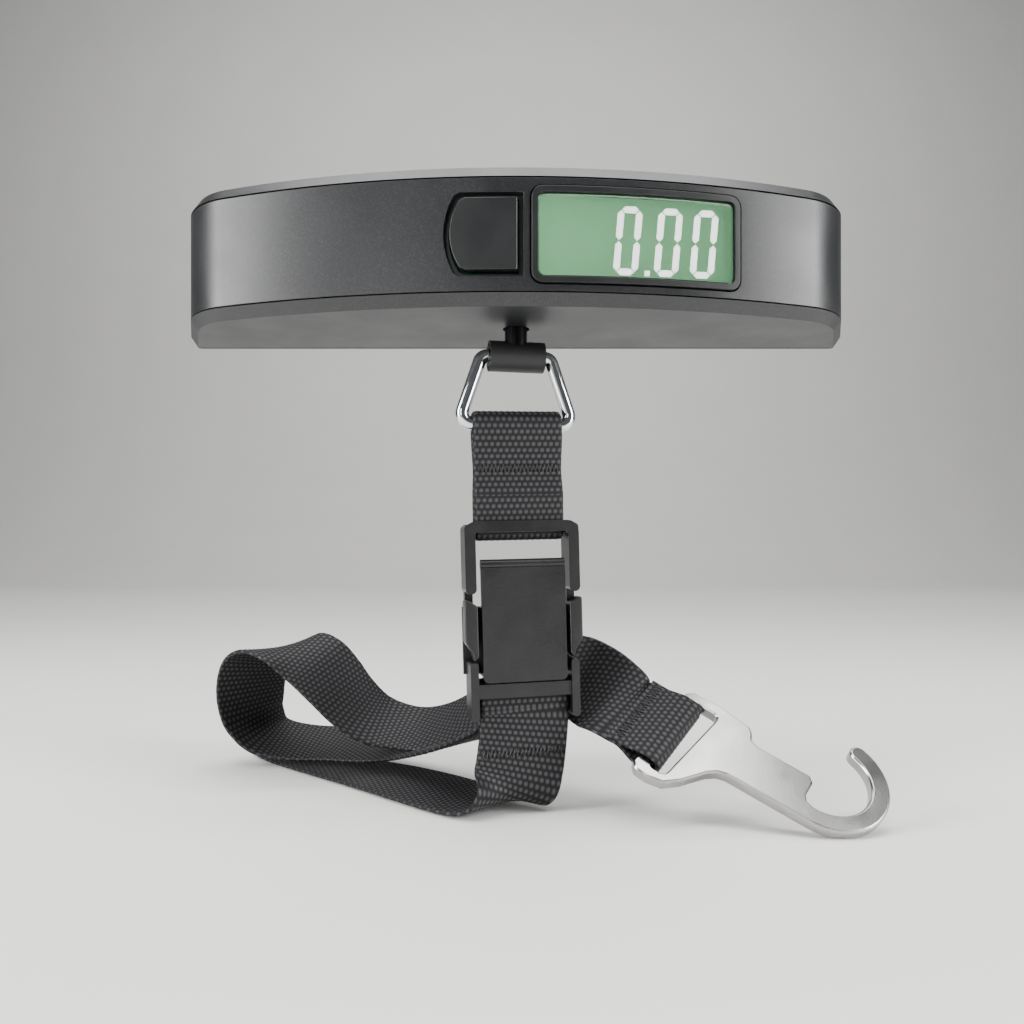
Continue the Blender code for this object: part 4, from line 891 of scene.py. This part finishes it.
fold, _, _ = webbing(
    "hook_webbing_fold", points, np.array([BAR_WAY] * len(points)), "buckle_bottom", ["hook_fold"]
)

# %% [markdown]
# ### Bar tacks
# Each sewn place is a bar tack: a thread that zigzags across the strap, so close that it stands up as a
# ridge. One poly curve with a round bevel makes it, and it becomes a mesh at the end.


# %% Bar tacks
STITCH_MM = 0.42
THREAD_RADIUS = 0.17 * MM
THREAD_PROUD = 0.12 * MM
THREAD_SUNK = 0.10 * MM
TOP_SHARE = 0.82
TACK_HIGH_MM = 1.9
TACK_WIDE_MM = 18.0
HOOK_TACK_WIDE_MM = 17.5
HOOK_TACK_X = -7.2 * MM
TAIL_TACK_SHARE = 0.085


def bar_tack(name, place, wide, tall, out, width_mm, body):
    """A zigzag of thread on the webbing's face: wide and tall lie in the face, out stands off it."""
    turns = int(width_mm / STITCH_MM)
    points = []
    for k in range(turns + 1):
        x = (k / turns - 0.5) * width_mm * MM
        z = (0.5 if k % 2 else -0.5) * TACK_HIGH_MM * MM
        points.append(place + wide * x + tall * z * TOP_SHARE + out * THREAD_PROUD)
        points.append(place + wide * x + tall * z - out * THREAD_SUNK)
    curve = bpy.data.curves.new(name, "CURVE")
    curve.dimensions = "3D"
    curve.bevel_depth = THREAD_RADIUS
    curve.bevel_resolution = 1
    curve.use_fill_caps = True
    line = curve.splines.new("POLY")
    line.points.add(len(points) - 1)
    for made, point in zip(line.points, points):
        made.co = (*point, 1.0)
    thing = bpy.data.objects.new(name, curve)
    bpy.context.scene.collection.objects.link(thing)
    bpy.ops.object.select_all(action="DESELECT")
    bpy.context.view_layer.objects.active = thing
    thing.select_set(True)
    bpy.ops.object.convert(target="MESH")
    thing = bpy.context.object
    thing.data.shade_smooth()
    thing.data.materials.append(THREAD)
    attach(thing, body)
    return thing


STRAP_UP = STRAP.to_3x3() @ Vector((0, 0, 1))
STRAP_OUT = STRAP.to_3x3() @ Vector((0, -1, 0))
TACK_OFF = WEB_THICKNESS / 2 * 0.9
for name, sign in (("loop_bar_tack_front", 1), ("loop_bar_tack_back", -1)):
    place = STRAP @ Vector((0, -sign * (SEAM_HALF + TACK_OFF), SEAM_Z))
    bar_tack(name, place, STRAP_WIDE, STRAP_UP, STRAP_OUT * sign, TACK_WIDE_MM, "buckle_top")
hook_tack_place = HOOK @ Vector((HOOK_TACK_X, 0, FOLD_OFF * MM + TACK_OFF))
fold_tack = bar_tack(
    "hook_bar_tack", hook_tack_place, BAR_WAY, STEM, FACE, HOOK_TACK_WIDE_MM, "buckle_bottom"
)
tail_at = Vector(tail_path[int(len(tail_path) * TAIL_TACK_SHARE)])
tail_tack_place = tail_at + STRAP_OUT * TACK_OFF
tail_tack = bar_tack(
    "tail_bar_tack", tail_tack_place, STRAP_WIDE, STRAP_UP, STRAP_OUT, TACK_WIDE_MM, "buckle_bottom"
)

# %% [markdown]

# %% [markdown]
# ## Digits
# The display reads zero in seven-segment figures with a slight slant. Each figure is made of bars with
# pointed ends, placed along the edges of a tall box. They stand 0.04 mm off the glass, so that they read
# crisply.

# %% Display figures
DIGIT_HIGH = 14.2 * MM
DIGIT_WIDE = 5.2 * MM
DIGIT_LEFTS = (16.0 * MM, 24.6 * MM, 32.3 * MM)
POINT_LEFT = 22.7 * MM
POINT_SIZE = 1.1 * MM
BAR = 1.35 * MM
SLANT = math.radians(5)
display_node = nodes["lcd_glass"]
WINDOW_X = 0.0250
FRONT_RADIUS = 0.1900
WINDOW_TILT = math.asin(WINDOW_X / FRONT_RADIUS)
GLASS_WAY = Vector((math.cos(WINDOW_TILT), math.sin(WINDOW_TILT), 0))
GLASS_OUT = Vector((math.sin(WINDOW_TILT), -math.cos(WINDOW_TILT), 0))
corners = [Vector(v.co) for v in display_node.data.vertices]
front_most = max(c.dot(GLASS_OUT) for c in corners)
glass_left = min(c.dot(GLASS_WAY) for c in corners)
glass_low = min(c.z for c in corners)
glass_high = max(c.z for c in corners)


# %% [markdown]
# A bar is a thin box, and both of its ends are extruded and squeezed to a point. Each figure is six
# copies: two of a level bar and four of an upright one. A copy's place on the glass goes straight into
# its mesh, together with the slant.

# %% Bars and figures
SEGMENT_GAP = 0.16 * MM
SEGMENT_DEPTH = 0.05 * MM
LIFT = 0.04 * MM
JOIN_WITHIN = 0.01 * MM
FACES_ALONG_X = 0.9
FOOT = (glass_high - glass_low - DIGIT_HIGH) / 2
LEAN = Vector((0, 0, 1)) + GLASS_WAY * math.tan(SLANT)
GLASS = Matrix((GLASS_WAY, LEAN, GLASS_OUT)).transposed().to_4x4()
foot_place = Vector((0, 0, glass_low + FOOT))
GLASS.translation = GLASS_OUT * (front_most + LIFT) + GLASS_WAY * glass_left + foot_place


def thin_box(width, height):
    """A box on the glass's own plane, its middle at the origin."""
    bpy.ops.object.select_all(action="DESELECT")
    bpy.ops.mesh.primitive_cube_add(size=1.0, location=(0, 0, SEGMENT_DEPTH / 2))
    made = bpy.context.object
    made.scale = (width, height, SEGMENT_DEPTH)
    bpy.ops.object.transform_apply(location=True, rotation=False, scale=True)
    return made


def segment_bar(length):
    """A bar with pointed ends, length from tip to tip."""
    made = thin_box(length - BAR, BAR)
    bpy.ops.object.mode_set(mode="EDIT")
    for way in (-1, 1):
        select_in_edit("faces", lambda face: face.normal.x * way > FACES_ALONG_X)
        bpy.ops.mesh.extrude_region_move(TRANSFORM_OT_translate={"value": (way * BAR / 2, 0, 0)})
        bpy.ops.transform.resize(value=(1, 0, 1))
    bpy.ops.mesh.select_all(action="SELECT")
    bpy.ops.mesh.remove_doubles(threshold=JOIN_WITHIN)
    bpy.ops.mesh.normals_make_consistent(inside=False)
    bpy.ops.object.mode_set(mode="OBJECT")
    return made


def put_on_glass(pattern, u, v, turn=0.0):
    """A copy of the pattern on the glass, u from its left and v from the figures' foot."""
    made = pattern.copy()
    made.data = pattern.data.copy()
    made.data.transform(GLASS @ Matrix.Translation((u, v, 0)) @ Matrix.Rotation(turn, 4, "Z"))
    bpy.context.scene.collection.objects.link(made)
    return made


LOWER_MIDDLE = (DIGIT_HIGH / 2 + BAR / 2) / 2
UPPER_MIDDLE = DIGIT_HIGH * 0.75 - BAR / 4
level_length = DIGIT_WIDE - BAR - 2 * SEGMENT_GAP
upright_length = (DIGIT_HIGH - BAR) / 2 - 2 * SEGMENT_GAP
level_bar = segment_bar(level_length)
upright_bar = segment_bar(upright_length)
point_box = thin_box(POINT_SIZE, POINT_SIZE)
pieces = [put_on_glass(point_box, POINT_LEFT + POINT_SIZE / 2, POINT_SIZE / 2)]
for left in DIGIT_LEFTS:
    middle = left + DIGIT_WIDE / 2
    for v in (BAR / 2, DIGIT_HIGH - BAR / 2):
        pieces.append(put_on_glass(level_bar, middle, v))
    for u in (left + BAR / 2, left + DIGIT_WIDE - BAR / 2):
        for v in (LOWER_MIDDLE, UPPER_MIDDLE):
            pieces.append(put_on_glass(upright_bar, u, v, math.pi / 2))
for pattern in (level_bar, upright_bar, point_box):
    bpy.data.objects.remove(pattern)
bpy.ops.object.select_all(action="DESELECT")
for piece in pieces:
    piece.select_set(True)
bpy.context.view_layer.objects.active = pieces[0]
bpy.ops.object.join()
digits = bpy.context.object
digits.name = "display_figures"
digits.data.materials.append(DIGITS)
print("display figures:", len(digits.data.polygons), "faces")
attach(digits, "housing")
